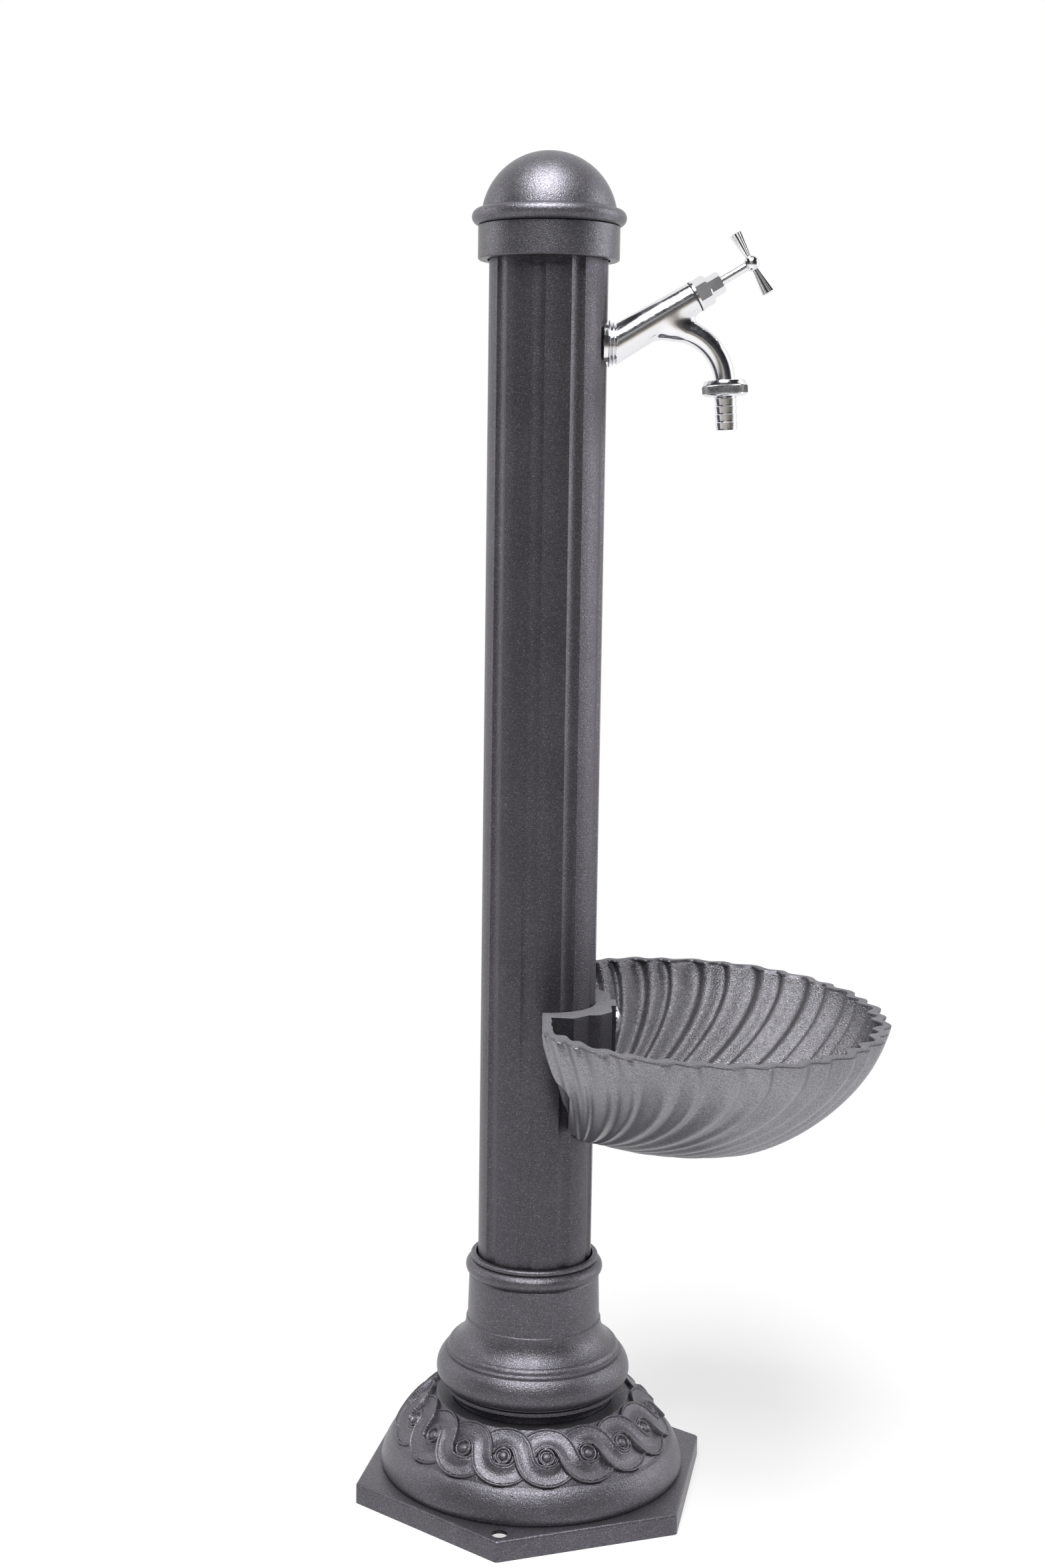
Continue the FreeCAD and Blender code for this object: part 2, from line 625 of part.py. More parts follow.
def make_supply():
    """Pipe inside the column, its fitting through the base, and the elbow behind the tap."""
    top = SEAT + " + Size.inlet_flange_thickness"
    socket = top + " + Size.compression_length"
    shank_low = WEB_UNDER + " - Size.lock_nut_height - Size.inlet_thread_end_gap"
    turned("inlet_fitting", [
        ("Size.passage_radius", SEAT + " - Size.inlet_length"),
        ("Size.thread_radius - 1", SEAT + " - Size.inlet_length"),
        ("Size.thread_radius", SEAT + " - Size.inlet_length + 1"),
        ("Size.thread_radius", shank_low),
        ("Size.inlet_shank_radius", shank_low),
        ("Size.inlet_shank_radius", SEAT),
        ("Size.inlet_flange_radius", SEAT),
        ("Size.inlet_flange_radius", top),
        ("Size.compression_radius", top),
        ("Size.compression_radius", socket),
        ("Size.pipe_radius + Size.pipe_fit", socket),
        ("Size.pipe_radius + Size.pipe_fit", socket + " - Size.pipe_socket"),
        ("Size.passage_radius", socket + " - Size.pipe_socket")], x="Size.pipe_offset")
    nut("inlet_lock_nut", "Size.lock_nut_flats", "Size.lock_nut_height",
        "Size.inlet_shank_radius + Size.thread_fit", x="Size.pipe_offset",
        z=WEB_UNDER + " - Size.lock_nut_height")
    elbow_low = TAP_LEVEL + " - Size.elbow_drop"
    elbow_mouth = elbow_low + " - Size.compression_length"
    ring("supply_pipe", "Size.pipe_radius - Size.pipe_wall", "Size.pipe_radius",
         socket + " - Size.pipe_socket + Size.pipe_fit", elbow_mouth + " + Size.pipe_socket - Size.pipe_fit",
         x="Size.pipe_offset")
    for name, level, turn in (("pipe_nut_lower", top, "0"), ("pipe_nut_upper", elbow_low, "180")):
        blank = nut(name + "_hexagon", "Size.pipe_nut_flats",
                    "(Size.compression_length + Size.pipe_nut_cover)",
                    "Size.pipe_radius + Size.pipe_fit * 2", facing=30)
        inside = solid("Cylinder", name + "_inside", Radius="Size.compression_radius + Size.thread_fit",
                       Height="Size.compression_length + 0.3")
        place(cut(name, blank, inside), x="Size.pipe_offset", z=level, turn=turn)
    upright = solid("Cylinder", "elbow_upright", x="Size.pipe_offset", z=elbow_low,
                    Radius="Size.elbow_radius", Height="Size.elbow_drop")
    thread = solid("Cylinder", "elbow_thread", x="Size.pipe_offset", z=elbow_mouth,
                   Radius="Size.compression_radius", Height="Size.compression_length")
    knuckle = solid("Sphere", "elbow_knuckle", x="Size.pipe_offset", z=TAP_LEVEL,
                    Radius="Size.elbow_socket_radius")
    socket_body = solid("Cylinder", "elbow_socket", x="Size.pipe_offset", z=TAP_LEVEL, turn="90",
                        Radius="Size.elbow_socket_radius",
                        Height="Size.backing_inner - Size.pipe_offset")
    up_bore = solid("Cylinder", "elbow_up_bore", x="Size.pipe_offset", z=elbow_mouth,
                    Radius="Size.passage_radius", Height="Size.elbow_drop + Size.compression_length")
    pipe_bore = solid("Cylinder", "elbow_pipe_bore", x="Size.pipe_offset", z=elbow_mouth,
                      Radius="Size.pipe_radius + Size.pipe_fit", Height="Size.pipe_socket")
    tap_bore = solid("Cylinder", "elbow_tap_bore", z=TAP_LEVEL, turn="90",
                     x="Size.column_radius + Size.rosette_depth - Size.nipple_depth",
                     Radius="Size.thread_radius + Size.thread_fit", Height="Size.nipple_depth")
    cut("tap_elbow", join("elbow_blank", upright, thread, knuckle, socket_body),
        up_bore, pipe_bore, tap_bore)


def make_backing(name, radius, inner, hole, level):
    """A disc inside the column with a flat inner face, its outer face curved to the tube."""
    disc = solid("Cylinder", name + "_disc", x=inner, z=level, turn="90", Radius=radius,
                 Height="Size.column_radius - " + inner)
    tube = solid("Cylinder", name + "_tube", z=level + " - Size.column_radius",
                 Radius=COLUMN_INSIDE + " - 0.05", Height="Size.column_radius * 2")
    shaped = doc.addObject("Part::Common", name + "_shaped")
    shaped.Base = disc
    shaped.Tool = tube
    bore = solid("Cylinder", name + "_bore", z=level, turn="90", Radius=hole,
                 Height="Size.column_radius")
    cut(name, shaped, bore)


TAP_ROOT = "(Size.column_radius + Size.rosette_depth)"
SPOUT_MIDDLE = "(Size.column_radius + Size.rosette_depth + Size.spout_reach - Size.spout_bend)"
SPOUT_LEVEL = "(" + TAP_LEVEL + " - Size.spout_drop)"
BONNET_SEAT = "(Size.barrel_length + Size.bonnet_seal_thickness)"
HEX_LOW = "(Size.barrel_length + Size.bonnet_flange_thickness)"
HEX_HIGH = "(Size.barrel_length + Size.bonnet_flange_thickness + Size.bonnet_hex_length)"
CARRIER_TOP = "(Size.seat_along + Size.valve_washer_thickness + Size.carrier_thickness)"
TAIL_TOP = "(Size.union_thread_length - Size.union_top + Size.union_seal_thickness)"


def in_tap(item):
    """Puts an object drawn along Z into the tap: its origin at the barrel's root, Z up the barrel."""
    return place(item, TAP_ROOT, TAP_LEVEL, "90 - Size.tap_rise")


def on_spout(item):
    """Puts an object drawn along Z at the spout's end, Z running out of the spout."""
    return place(item, SPOUT_MIDDLE + " + Size.spout_bend * cos(Size.spout_lean)",
                 SPOUT_LEVEL + " + Size.spout_bend * sin(Size.spout_lean)", "180 - Size.spout_lean")


def spout_arc(name, radius, sweep):
    """A bent round bar along the spout's curve."""
    bar = doc.addObject("Part::Torus", name + "_bar")
    for key, text in (("Radius1", "Size.spout_bend"), ("Radius2", radius), ("Angle3", sweep)):
        bar.setExpression(key, text)
    bar.Placement = Placement(Vector(0, 0, 0), Rotation(Vector(1, 0, 0), 90))
    arc = doc.addObject("Part::Compound", name)
    arc.Links = [bar]
    return place(arc, SPOUT_MIDDLE, SPOUT_LEVEL, "-Size.spout_lean")


def make_tap_body():
    """Inclined barrel with its threaded nipple behind, and the curved spout with a threaded end."""
    tail = "(Size.barrel_root_radius * tan(Size.tap_rise) + 1)"
    bar = solid("Cone", "barrel_bar", Radius1="Size.barrel_root_radius",
                Radius2="Size.barrel_end_radius", Height="Size.barrel_length + " + tail,
                x=TAP_ROOT + " - " + tail + " * cos(Size.tap_rise)",
                z=TAP_LEVEL + " - " + tail + " * sin(Size.tap_rise)", turn="90 - Size.tap_rise")
    behind = solid("Cylinder", "behind_barrel", x=TAP_ROOT + " - Size.column_radius", z=TAP_LEVEL,
                   turn="90", Radius="Size.column_radius", Height="Size.column_radius")
    nipple = solid("Cylinder", "nipple", x=TAP_ROOT + " - Size.nipple_depth", z=TAP_LEVEL, turn="90",
                   Radius="Size.thread_radius",
                   Height="Size.nipple_depth + Size.barrel_root_radius / 4")
    curve = spout_arc("spout_curve", "Size.spout_radius", "Size.spout_sweep")
    male_end = "Size.union_thread_length - Size.union_top"
    mouth = on_spout(turned("spout_mouth", [
        ("0", "-Size.union_top * 8"),
        ("Size.spout_radius * 0.9", "-Size.union_top * 8"),
        ("Size.spout_radius + Size.spout_flare", "-Size.union_top"),
        ("Size.union_thread_radius", "-Size.union_top"),
        ("Size.union_thread_radius", male_end),
        ("0", male_end)]))
    chamber = in_tap(ring("chamber", "0", "Size.chamber_radius", "Size.seat_along",
                          "Size.barrel_length * 2"))
    passage = in_tap(ring("passage", "0", "Size.passage_radius", "0", "Size.seat_along * 2"))
    inlet = solid("Cylinder", "inlet_bore", x=TAP_ROOT + " - Size.nipple_depth", z=TAP_LEVEL,
                  turn="90", Radius="Size.passage_radius",
                  Height="Size.nipple_depth + Size.passage_radius / 2")
    curve_bore = spout_arc("spout_bore", "Size.tail_bore", "Size.spout_bore_sweep")
    mouth_bore = on_spout(ring("mouth_bore", "0", "Size.tail_bore", "0", male_end))
    cut("tap_body", join("tap_blank", cut("barrel", bar, behind), nipple, curve, mouth),
        chamber, passage, inlet, curve_bore, mouth_bore)


def make_rosette():
    """Disc between the column and the barrel, its back hollowed to the column."""
    front = "Size.column_radius + Size.rosette_depth"
    bore = "Size.thread_radius + Size.thread_hole_gap"
    disc = turned("rosette_disc", [
        (bore, "Size.column_radius / 2"),
        ("Size.rosette_radius", "Size.column_radius / 2"),
        ("Size.rosette_radius", front + " - Size.rosette_rim"),
        ("Size.rosette_face_radius", front + " - Size.rosette_rim / 3"),
        ("Size.rosette_face_radius - 0.6", front),
        (bore, front)], z=TAP_LEVEL, turn="90")
    tube = solid("Cylinder", "rosette_tube", z=TAP_LEVEL + " - Size.column_radius",
                 Radius="Size.column_radius + 0.05", Height="Size.column_radius * 2")
    cut("tap_rosette", disc, tube)


def make_bonnet():
    """Bonnet with its seal, the gland nut over its neck and the packing inside."""
    hole = "Size.stem_radius + Size.stem_fit"
    thread_bore = "Size.spindle_thread_radius + Size.stem_fit"
    neck_top = HEX_HIGH + " + Size.bonnet_neck_length"
    thread_top = HEX_HIGH + " - Size.bonnet_neck_length"
    in_tap(ring("bonnet_seal", "Size.bonnet_thread_radius + Size.stem_fit", "Size.barrel_end_radius",
                "Size.barrel_length", BONNET_SEAT))
    core = turned("bonnet_core", [
        ("0", BONNET_SEAT + " - Size.bonnet_thread_length"),
        ("Size.bonnet_thread_radius", BONNET_SEAT + " - Size.bonnet_thread_length"),
        ("Size.bonnet_thread_radius", BONNET_SEAT),
        ("Size.bonnet_flange_radius", BONNET_SEAT),
        ("Size.bonnet_flange_radius", HEX_LOW),
        ("Size.bonnet_neck_radius", HEX_LOW),
        ("Size.bonnet_neck_radius", neck_top),
        ("0", neck_top)])
    blank = solid("Prism", "bonnet_prism", z=HEX_LOW, Circumradius="Size.bonnet_flats / (2 * cos(30))",
                  Height="Size.bonnet_hex_length")
    crown = solid("Cone", "bonnet_crown", z=HEX_LOW, Radius1="Size.bonnet_flats",
                  Radius2="Size.bonnet_flats / 2", Height="Size.bonnet_hex_length")
    hexagon = doc.addObject("Part::Common", "bonnet_hexagon")
    hexagon.Base = blank
    hexagon.Tool = crown
    bore = turned("bonnet_bore", [
        ("0", "Size.seat_along"),
        (thread_bore, "Size.seat_along"),
        (thread_bore, thread_top),
        (hole, thread_top),
        (hole, neck_top + " - Size.packing_depth"),
        ("Size.packing_radius", neck_top + " - Size.packing_depth"),
        ("Size.packing_radius", neck_top + " + 1"),
        ("0", neck_top + " + 1")])
    in_tap(cut("bonnet", join("bonnet_blank", core, hexagon), bore))
    in_tap(ring("gland_packing", hole, "Size.packing_radius", neck_top + " - Size.packing_depth",
                neck_top))
    gland = nut("gland_blank", "Size.gland_flats", "Size.gland_length", hole)
    socket = solid("Cylinder", "gland_socket", Radius="Size.bonnet_neck_radius + Size.thread_fit",
                   Height="Size.bonnet_neck_length")
    place(cut("gland_nut", gland, socket), TAP_ROOT + " + " + HEX_HIGH + " * cos(Size.tap_rise)",
          TAP_LEVEL + " + " + HEX_HIGH + " * sin(Size.tap_rise)", "90 - Size.tap_rise")


def make_valve():
    """Washer and its carrier, which the spindle lifts off the seat."""
    in_tap(ring("valve_washer", "Size.carrier_pin_radius", "Size.valve_washer_radius", "Size.seat_along",
                "Size.seat_along + Size.valve_washer_thickness"))
    plate_low = "Size.seat_along + Size.valve_washer_thickness"
    in_tap(turned("valve_carrier", [
        ("0", "Size.seat_along"),
        ("Size.carrier_pin_radius", "Size.seat_along"),
        ("Size.carrier_pin_radius", plate_low),
        ("Size.carrier_radius", plate_low),
        ("Size.carrier_radius", CARRIER_TOP),
        ("Size.carrier_pin_radius", CARRIER_TOP),
        ("Size.carrier_pin_radius", CARRIER_TOP + " + Size.carrier_pin_length"),
        ("0", CARRIER_TOP + " + Size.carrier_pin_length")]))
    low = CARRIER_TOP + " + Size.stem_fit"
    top = "Size.ball_along - Size.ball_radius + Size.ball_socket"
    in_tap(turned("spindle", [
        ("0", CARRIER_TOP + " + Size.carrier_pin_length + Size.stem_fit"),
        ("Size.carrier_pin_radius + Size.stem_fit",
         CARRIER_TOP + " + Size.carrier_pin_length + Size.stem_fit"),
        ("Size.carrier_pin_radius + Size.stem_fit", low),
        ("Size.spindle_thread_radius", low),
        ("Size.spindle_thread_radius", low + " + Size.spindle_thread_length"),
        ("Size.stem_radius", low + " + Size.spindle_thread_length + Size.spindle_shoulder"),
        ("Size.stem_radius", top),
        ("0", top)]))


def fluted_arm():
    """One arm of the handle along Z: a fluted taper with a tenon at its root and a low domed end."""
    start, length, count = size("arm_start"), size("arm_length"), int(size("arm_flutes"))
    share = size("arm_flute_share")
    steps = count * 8
    wires = []
    for level, radius in ((start, size("arm_root_radius")), (length, size("arm_tip_radius"))):
        points = []
        for step in range(steps):
            turn = 2 * math.pi * step / steps
            spread = radius * (1 - share * abs(math.cos(count * turn / 2)) ** 3)
            points.append(Vector(spread * math.cos(turn), spread * math.sin(turn), level))
        wires.append(Part.makePolygon(points + points[:1]))
    taper = Part.makeLoft(wires, True, True)
    tenon = Part.makeCylinder(size("arm_tenon_radius"), size("arm_tenon_length") + 1,
                              Vector(0, 0, start - size("arm_tenon_length")))
    end_radius = size("arm_tip_radius") * (1 - share)
    end = Part.makeCone(end_radius, end_radius * 0.6, end_radius * 0.2, Vector(0, 0, length))
    return taper.fuse([tenon, end]).removeSplitter()


def make_handle():
    """Ball on the spindle with two arms let into it."""
    ball = solid("Sphere", "ball_blank", z="Size.ball_along", Radius="Size.ball_radius")
    stem_hole = solid("Cylinder", "ball_stem_hole", z="Size.ball_along - Size.ball_radius * 2",
                      Radius="Size.stem_radius + Size.stem_fit",
                      Height="Size.ball_radius + Size.ball_socket + Size.stem_fit")
    tools = [stem_hole]
    for index, turn in ((1, "90"), (2, "-90")):
        tenon_hole = ring("tenon_hole_%d" % index, "0", "Size.arm_tenon_radius + Size.stem_fit",
                          "Size.arm_start - Size.arm_tenon_length - Size.stem_fit", "Size.arm_length",
                          z="Size.ball_along", turn=turn)
        root_hole = ring("root_hole_%d" % index, "0", "Size.arm_root_radius + Size.stem_fit * 8",
                         "Size.arm_start", "Size.arm_length", z="Size.ball_along", turn=turn)
        tools += [tenon_hole, root_hole]
    in_tap(cut("handle_ball", ball, *tools))
    for name, turn in (("handle_arm_lower", "180 - Size.tap_rise"), ("handle_arm_upper", "-Size.tap_rise")):
        place(made(name, fluted_arm()), TAP_ROOT + " + Size.ball_along * cos(Size.tap_rise)",
              TAP_LEVEL + " + Size.ball_along * sin(Size.tap_rise)", turn)


def knurled_band():
    """The union nut's gripping band: a prism with many small teeth."""
    count, outer = int(size("union_knurl_teeth")), size("union_nut_radius")
    inner = outer - size("union_knurl_depth")
    points = []
    for step in range(2 * count):
        turn = math.pi * step / count
        radius = inner if step % 2 else outer
        points.append(Vector(radius * math.cos(turn), radius * math.sin(turn), size("union_knurl_low")))
    face = Part.Face(Part.makePolygon(points + points[:1]))
    return face.extrude(Vector(0, 0, size("union_knurl_height")))


def make_union():
    """Hose tail, its seal and the knurled nut that draws it against the spout."""
    male_end = "Size.union_thread_length - Size.union_top"
    flange_low = TAIL_TOP + " + Size.union_flange_thickness"
    on_spout(ring("union_seal", "Size.tail_bore", "Size.union_flange_radius", male_end, TAIL_TOP))
    outline = [("Size.tail_bore", TAIL_TOP), ("Size.union_flange_radius", TAIL_TOP),
               ("Size.union_flange_radius", flange_low), ("Size.tail_radius", flange_low)]
    for barb in range(int(size("tail_barbs"))):
        low = flange_low + " + Size.tail_plain + Size.tail_barb_pitch * %d" % barb
        outline += [("Size.tail_radius", low),
                    ("Size.tail_radius + Size.tail_barb", low + " + Size.tail_barb"),
                    ("Size.tail_radius", low + " + Size.tail_barb_pitch * 0.85")]
    end = flange_low + " + Size.tail_plain + Size.tail_barb_pitch * Size.tail_barbs"
    outline += [("Size.tail_radius", end), ("Size.tail_bore", end)]
    on_spout(turned("hose_tail", outline))
    nut_low = flange_low + " + Size.union_foot_thickness"
    nut_top = nut_low + " - Size.union_nut_height"
    shell = turned("union_shell", [
        ("0", nut_top),
        ("Size.union_nut_top_radius", nut_top),
        ("Size.union_nut_top_radius", "Size.union_knurl_low"),
        ("Size.union_nut_radius - Size.union_knurl_depth * 2", "Size.union_knurl_low"),
        ("Size.union_nut_radius - Size.union_knurl_depth * 2", "Size.union_knurl_low + "
         "Size.union_knurl_height"),
        ("Size.union_nut_foot_radius", "Size.union_knurl_low + Size.union_knurl_height"),
        ("Size.union_nut_foot_radius", nut_low),
        ("0", nut_low)])
    inside = turned("union_inside", [
        ("0", nut_top + " - 1"),
        ("Size.union_thread_radius + Size.union_fit", nut_top + " - 1"),
        ("Size.union_thread_radius + Size.union_fit", male_end + " + Size.union_seal_thickness / 2"),
        ("Size.union_flange_radius + Size.union_fit * 2", male_end + " + Size.union_seal_thickness / 2"),
        ("Size.union_flange_radius + Size.union_fit * 2", flange_low + " + Size.union_fit"),
        ("Size.tail_radius + Size.tail_barb + Size.union_foot_gap", flange_low + " + Size.union_fit"),
        ("Size.tail_radius + Size.tail_barb + Size.union_foot_gap", nut_low + " + 1"),
        ("0", nut_low + " + 1")])
    band = made("union_band", knurled_band())
    on_spout(cut("union_nut", join("union_blank", shell, band), inside))


def lobes():
    """Fan angles in degrees with the share of a pocket's bulge at each, once round the basin.

    Narrow and wide pockets alternate, a narrow one at the tip, and stop at the basin's back corners.
    """
    step, narrow = size("basin_flute_step"), size("basin_narrow_flute")
    last = math.degrees(math.atan2(size("basin_half_width") * size("basin_flute_spread"),
                                   size("basin_hinge_inset") - size("basin_back")))
    spots = []
    middle, wide = 0.0, False
    while middle + (step - narrow if wide else narrow) / 2 < last:
        width = step - narrow if wide else narrow
        bulge = size("basin_wide_bulge") if wide else size("basin_narrow_bulge")
        for index in range(6):
            share = (index + 0.5) / 3 - 1
            spots.append((middle + share * width / 2, bulge * (1 - share * share)))
        middle += step / 2
        wide = not wide
    ahead = [spot for spot in spots if spot[0] > 0.01]
    behind = [(-angle, bulge) for angle, bulge in reversed(ahead)]
    rest = 360 - 2 * ahead[-1][0]
    plain = [(ahead[-1][0] + rest * index / 16, 0.0) for index in range(1, 16)]
    return ahead + plain + [(angle + 360, bulge) for angle, bulge in behind]


def rim_reach(angle, inset):
    """How far the basin's plain rim lies from the fan's hinge in a direction, less a wall's inset."""
    across = size("basin_half_width") - inset
    forward = size("basin_front") - size("basin_middle") - inset
    back = size("basin_back") - inset
    wave, lift = math.cos(angle), math.sin(angle)
    low, high = 0.0, 2 * size("basin_front")
    for attempt in range(40):
        middle = (low + high) / 2
        x = middle * wave - size("basin_hinge_inset")
        along, beside = (x - size("basin_middle")) / forward, middle * abs(lift) / across
        power = size("basin_front_power") if along > 0 else size("basin_back_power")
        outside = abs(along) ** power + beside ** power > 1 or x < -back
        low, high = (low, middle) if outside else (middle, high)
    return low


def curve_through(points, marks):
    """A smooth curve through points at given parameters."""
    curve = Part.BSplineCurve()
    curve.interpolate(Points=points, Parameters=marks)
    return curve


def skin_through(grid):
    """A smooth surface through a grid of points, its first and last rows kept flat."""
    along = [index / (len(grid) - 1) for index in range(len(grid))]
    down = [index / (len(grid[0]) - 1) for index in range(len(grid[0]))]
    rows = [curve_through([rib[level] for rib in grid], along) for level in range(len(down))]
    row_poles = [row.getPoles() for row in rows]
    columns = [curve_through([poles[index] for poles in row_poles], down)
               for index in range(len(row_poles[0]))]
    row, column = rows[0], columns[0]
    surface = Part.BSplineSurface()
    surface.buildFromPolesMultsKnots([item.getPoles() for item in columns],
                                     row.getMultiplicities(), column.getMultiplicities(),
                                     row.getKnots(), column.getKnots(), False, False,
                                     row.Degree, column.Degree)
    return surface


def basin_skin(inset, above=0):
    """A closed solid inside one of the basin's surfaces: ribs fan from the hinge, rim at height 0.

    It goes on upright above the rim by `above`, so that a hollow can be cut right through.
    """
    depth = size("basin_depth") - inset
    grid = []
    turns = lobes()
    for degrees, bulge in turns + turns[:1]:
        angle = math.radians(degrees)
        away = math.degrees(math.acos(math.cos(angle))) / size("basin_keel_fan")
        share = min(away, 1)
        blend = share * share * (3 - 2 * share)
        keel = size("basin_keel_share") * (1 - blend) + size("basin_keel_back")
        bow = size("basin_bow")
        length = rim_reach(angle, inset)
        rib = []
        for index in range(11):
            turn = math.radians(9.0 * index)
            fall = depth * math.sin(turn) ** (2 / bow)
            spread = keel + (1 - keel) * max(math.cos(turn), 0) ** (2 / bow)
            out = length * spread + bulge * spread ** 0.7
            rib.append(Vector(out * math.cos(angle) - size("basin_hinge_inset"),
                              out * math.sin(angle), -fall))
        grid.append(rib)
    side = skin_through(grid).toShape()
    ends = [Part.Face(Part.Wire([edge])) for edge in side.Edges if edge.isClosed()]
    shell = Part.Shell([side] + ends)
    shell.sewShape()
    solid_skin = Part.Solid(shell)
    if solid_skin.Volume < 0:
        solid_skin.reverse()
    if above:
        rim = max(ends, key=lambda face: face.Area)
        solid_skin = solid_skin.fuse(rim.extrude(Vector(0, 0, above)))
    return solid_skin


def make_basin():
    """Shell basin with fanned pockets, a thick saddle against the column and a hole for its bolt."""
    outer = place(made("basin_outer", basin_skin(0)), "Size.column_radius", RIM_LEVEL,
                  "Size.basin_tip_down")
    inner = place(made("basin_inner", basin_skin(size("basin_wall"), size("basin_depth") / 7)),
                  "Size.column_radius", RIM_LEVEL, "Size.basin_tip_down")
    body = doc.addObject("PartDesign::Body", "saddle")
    plan = body.newObject("Sketcher::SketchObject", "saddle_plan")
    plan.AttachmentSupport = [(plane_of(body, "XY_Plane"), "")]
    plan.MapMode = "FlatFace"
    shoulder = reach("saddle_shoulder")
    half = [("Size.column_radius + Size.pillar_front", "Size.pillar_half_width"),
            ("Size.column_radius + Size.saddle_front", "Size.pillar_half_width"),
            ("Size.column_radius + Size.saddle_front", "Size.saddle_front_half"),
            ("Size.column_radius + Size.saddle_front / 4", "Size.column_radius"),
            ("Size.column_radius - Size.saddle_cheek * 5", reach("saddle_cheek")),
            ("Size.column_radius - Size.saddle_back / 2", shoulder),
            ("-Size.column_radius", shoulder)]
    mirrored = [(x, "-(" + y + ")") for x, y in reversed(half)]
    add_outline(plan, half + mirrored)
    pad = body.newObject("PartDesign::Pad", "saddle_pad")
    pad.Profile = plan
    pad.setExpression("Length", "Size.basin_depth * 2")
    place(body, z=RIM_LEVEL + " - Size.basin_depth * 1.5")
    hollow = cut("basin_hollow", inner, body)
    hollow.Refine = False
    column = solid("Cylinder", "basin_column_room", z=RIM_LEVEL + " - Size.basin_depth * 2",
                   Radius="Size.column_radius + Size.saddle_gap", Height="Size.basin_depth * 3")
    hole = solid("Cylinder", "basin_bolt_hole", z=BOLT_LEVEL, turn="90",
                 Radius="Size.basin_bolt_radius + Size.basin_bolt_hole_gap",
                 Height="Size.column_radius * 2")
    back = "Size.column_radius - Size.basin_back"
    relief = doc.addObject("PartDesign::Body", "basin_relief")
    side = relief.newObject("Sketcher::SketchObject", "basin_relief_side")
    side.AttachmentSupport = [(plane_of(relief, "XZ_Plane"), "")]
    side.MapMode = "FlatFace"
    add_outline(side, [("-Size.column_radius", RIM_LEVEL + " - Size.basin_depth * 1.5"),
                       ("Size.basin_relief_front", RIM_LEVEL + " - Size.basin_depth * 1.5"),
                       ("Size.basin_relief_front", RIM_LEVEL + " - Size.basin_relief_drop"),
                       ("Size.basin_relief_fold",
                        RIM_LEVEL + " - Size.basin_relief_drop + Size.basin_relief_top"),
                       (back, RIM_LEVEL + " - Size.basin_relief_top"),
                       ("-Size.column_radius", RIM_LEVEL + " - Size.basin_relief_top")])
    through = relief.newObject("PartDesign::Pad", "basin_relief_pad")
    through.Profile = side
    through.Midplane = True
    through.setExpression("Length", "Size.basin_half_width * 3")
    cut("basin", outer, hollow, column, relief, hole).Refine = False


def make_basin_bolt():
    """Domed bolt through the saddle and the column, with washers and a nut inside."""
    face = "Size.column_radius + Size.pillar_front"
    under_head = face + " + Size.basin_washer_thickness"
    nut_low = "Size.basin_backing_inner - Size.basin_nut_height"
    head = "Size.basin_bolt_head_radius"
    rise = "Size.basin_bolt_head_height"
    turned("basin_bolt", [
        ("0", nut_low + " - Size.basin_bolt_spare"),
        ("Size.basin_bolt_radius", nut_low + " - Size.basin_bolt_spare"),
        ("Size.basin_bolt_radius", under_head),
        (head, under_head),
        ("0", under_head + " + " + rise, "(" + head + " ^ 2 + " + rise + " ^ 2) / (2 * " + rise + ")", 1)],
        z=BOLT_LEVEL, turn="90")
    ring("basin_bolt_washer", "Size.basin_bolt_radius + Size.basin_bolt_hole_gap / 2",
         "Size.basin_washer_radius", face, under_head, z=BOLT_LEVEL, turn="90")
    nut("basin_bolt_nut", "Size.basin_nut_flats", "Size.basin_nut_height",
        "Size.basin_bolt_radius + Size.thread_fit", x=nut_low, z=BOLT_LEVEL, turn="90")


NODES = ["base_flange", "pedestal", "column", "dome_cap", "tie_rod", "tie_rod_washer", "tie_rod_nut",
         "inlet_fitting", "inlet_lock_nut", "supply_pipe", "pipe_nut_lower", "pipe_nut_upper",
         "tap_elbow", "tap_backing_washer", "tap_rosette", "tap_body", "bonnet_seal", "bonnet",
         "gland_packing", "gland_nut", "valve_carrier", "valve_washer", "spindle", "handle_ball",
         "handle_arm_lower", "handle_arm_upper", "union_seal", "hose_tail", "union_nut",
         "basin", "basin_bolt", "basin_bolt_washer", "basin_backing_washer", "basin_bolt_nut"]

make_base()
make_pedestal()
make_column()
make_cap()
make_tie_rod()
make_supply()
make_backing("tap_backing_washer", "Size.backing_radius", "Size.backing_inner",
             "Size.thread_radius + Size.thread_hole_gap", TAP_LEVEL)
make_backing("basin_backing_washer", "Size.basin_backing_radius", "Size.basin_backing_inner",
             "Size.basin_bolt_radius + Size.basin_bolt_hole_gap", BOLT_LEVEL)
make_tap_body()
make_rosette()
make_bonnet()
make_valve()
make_handle()
make_union()
make_basin()
make_basin_bolt()
doc.recompute()

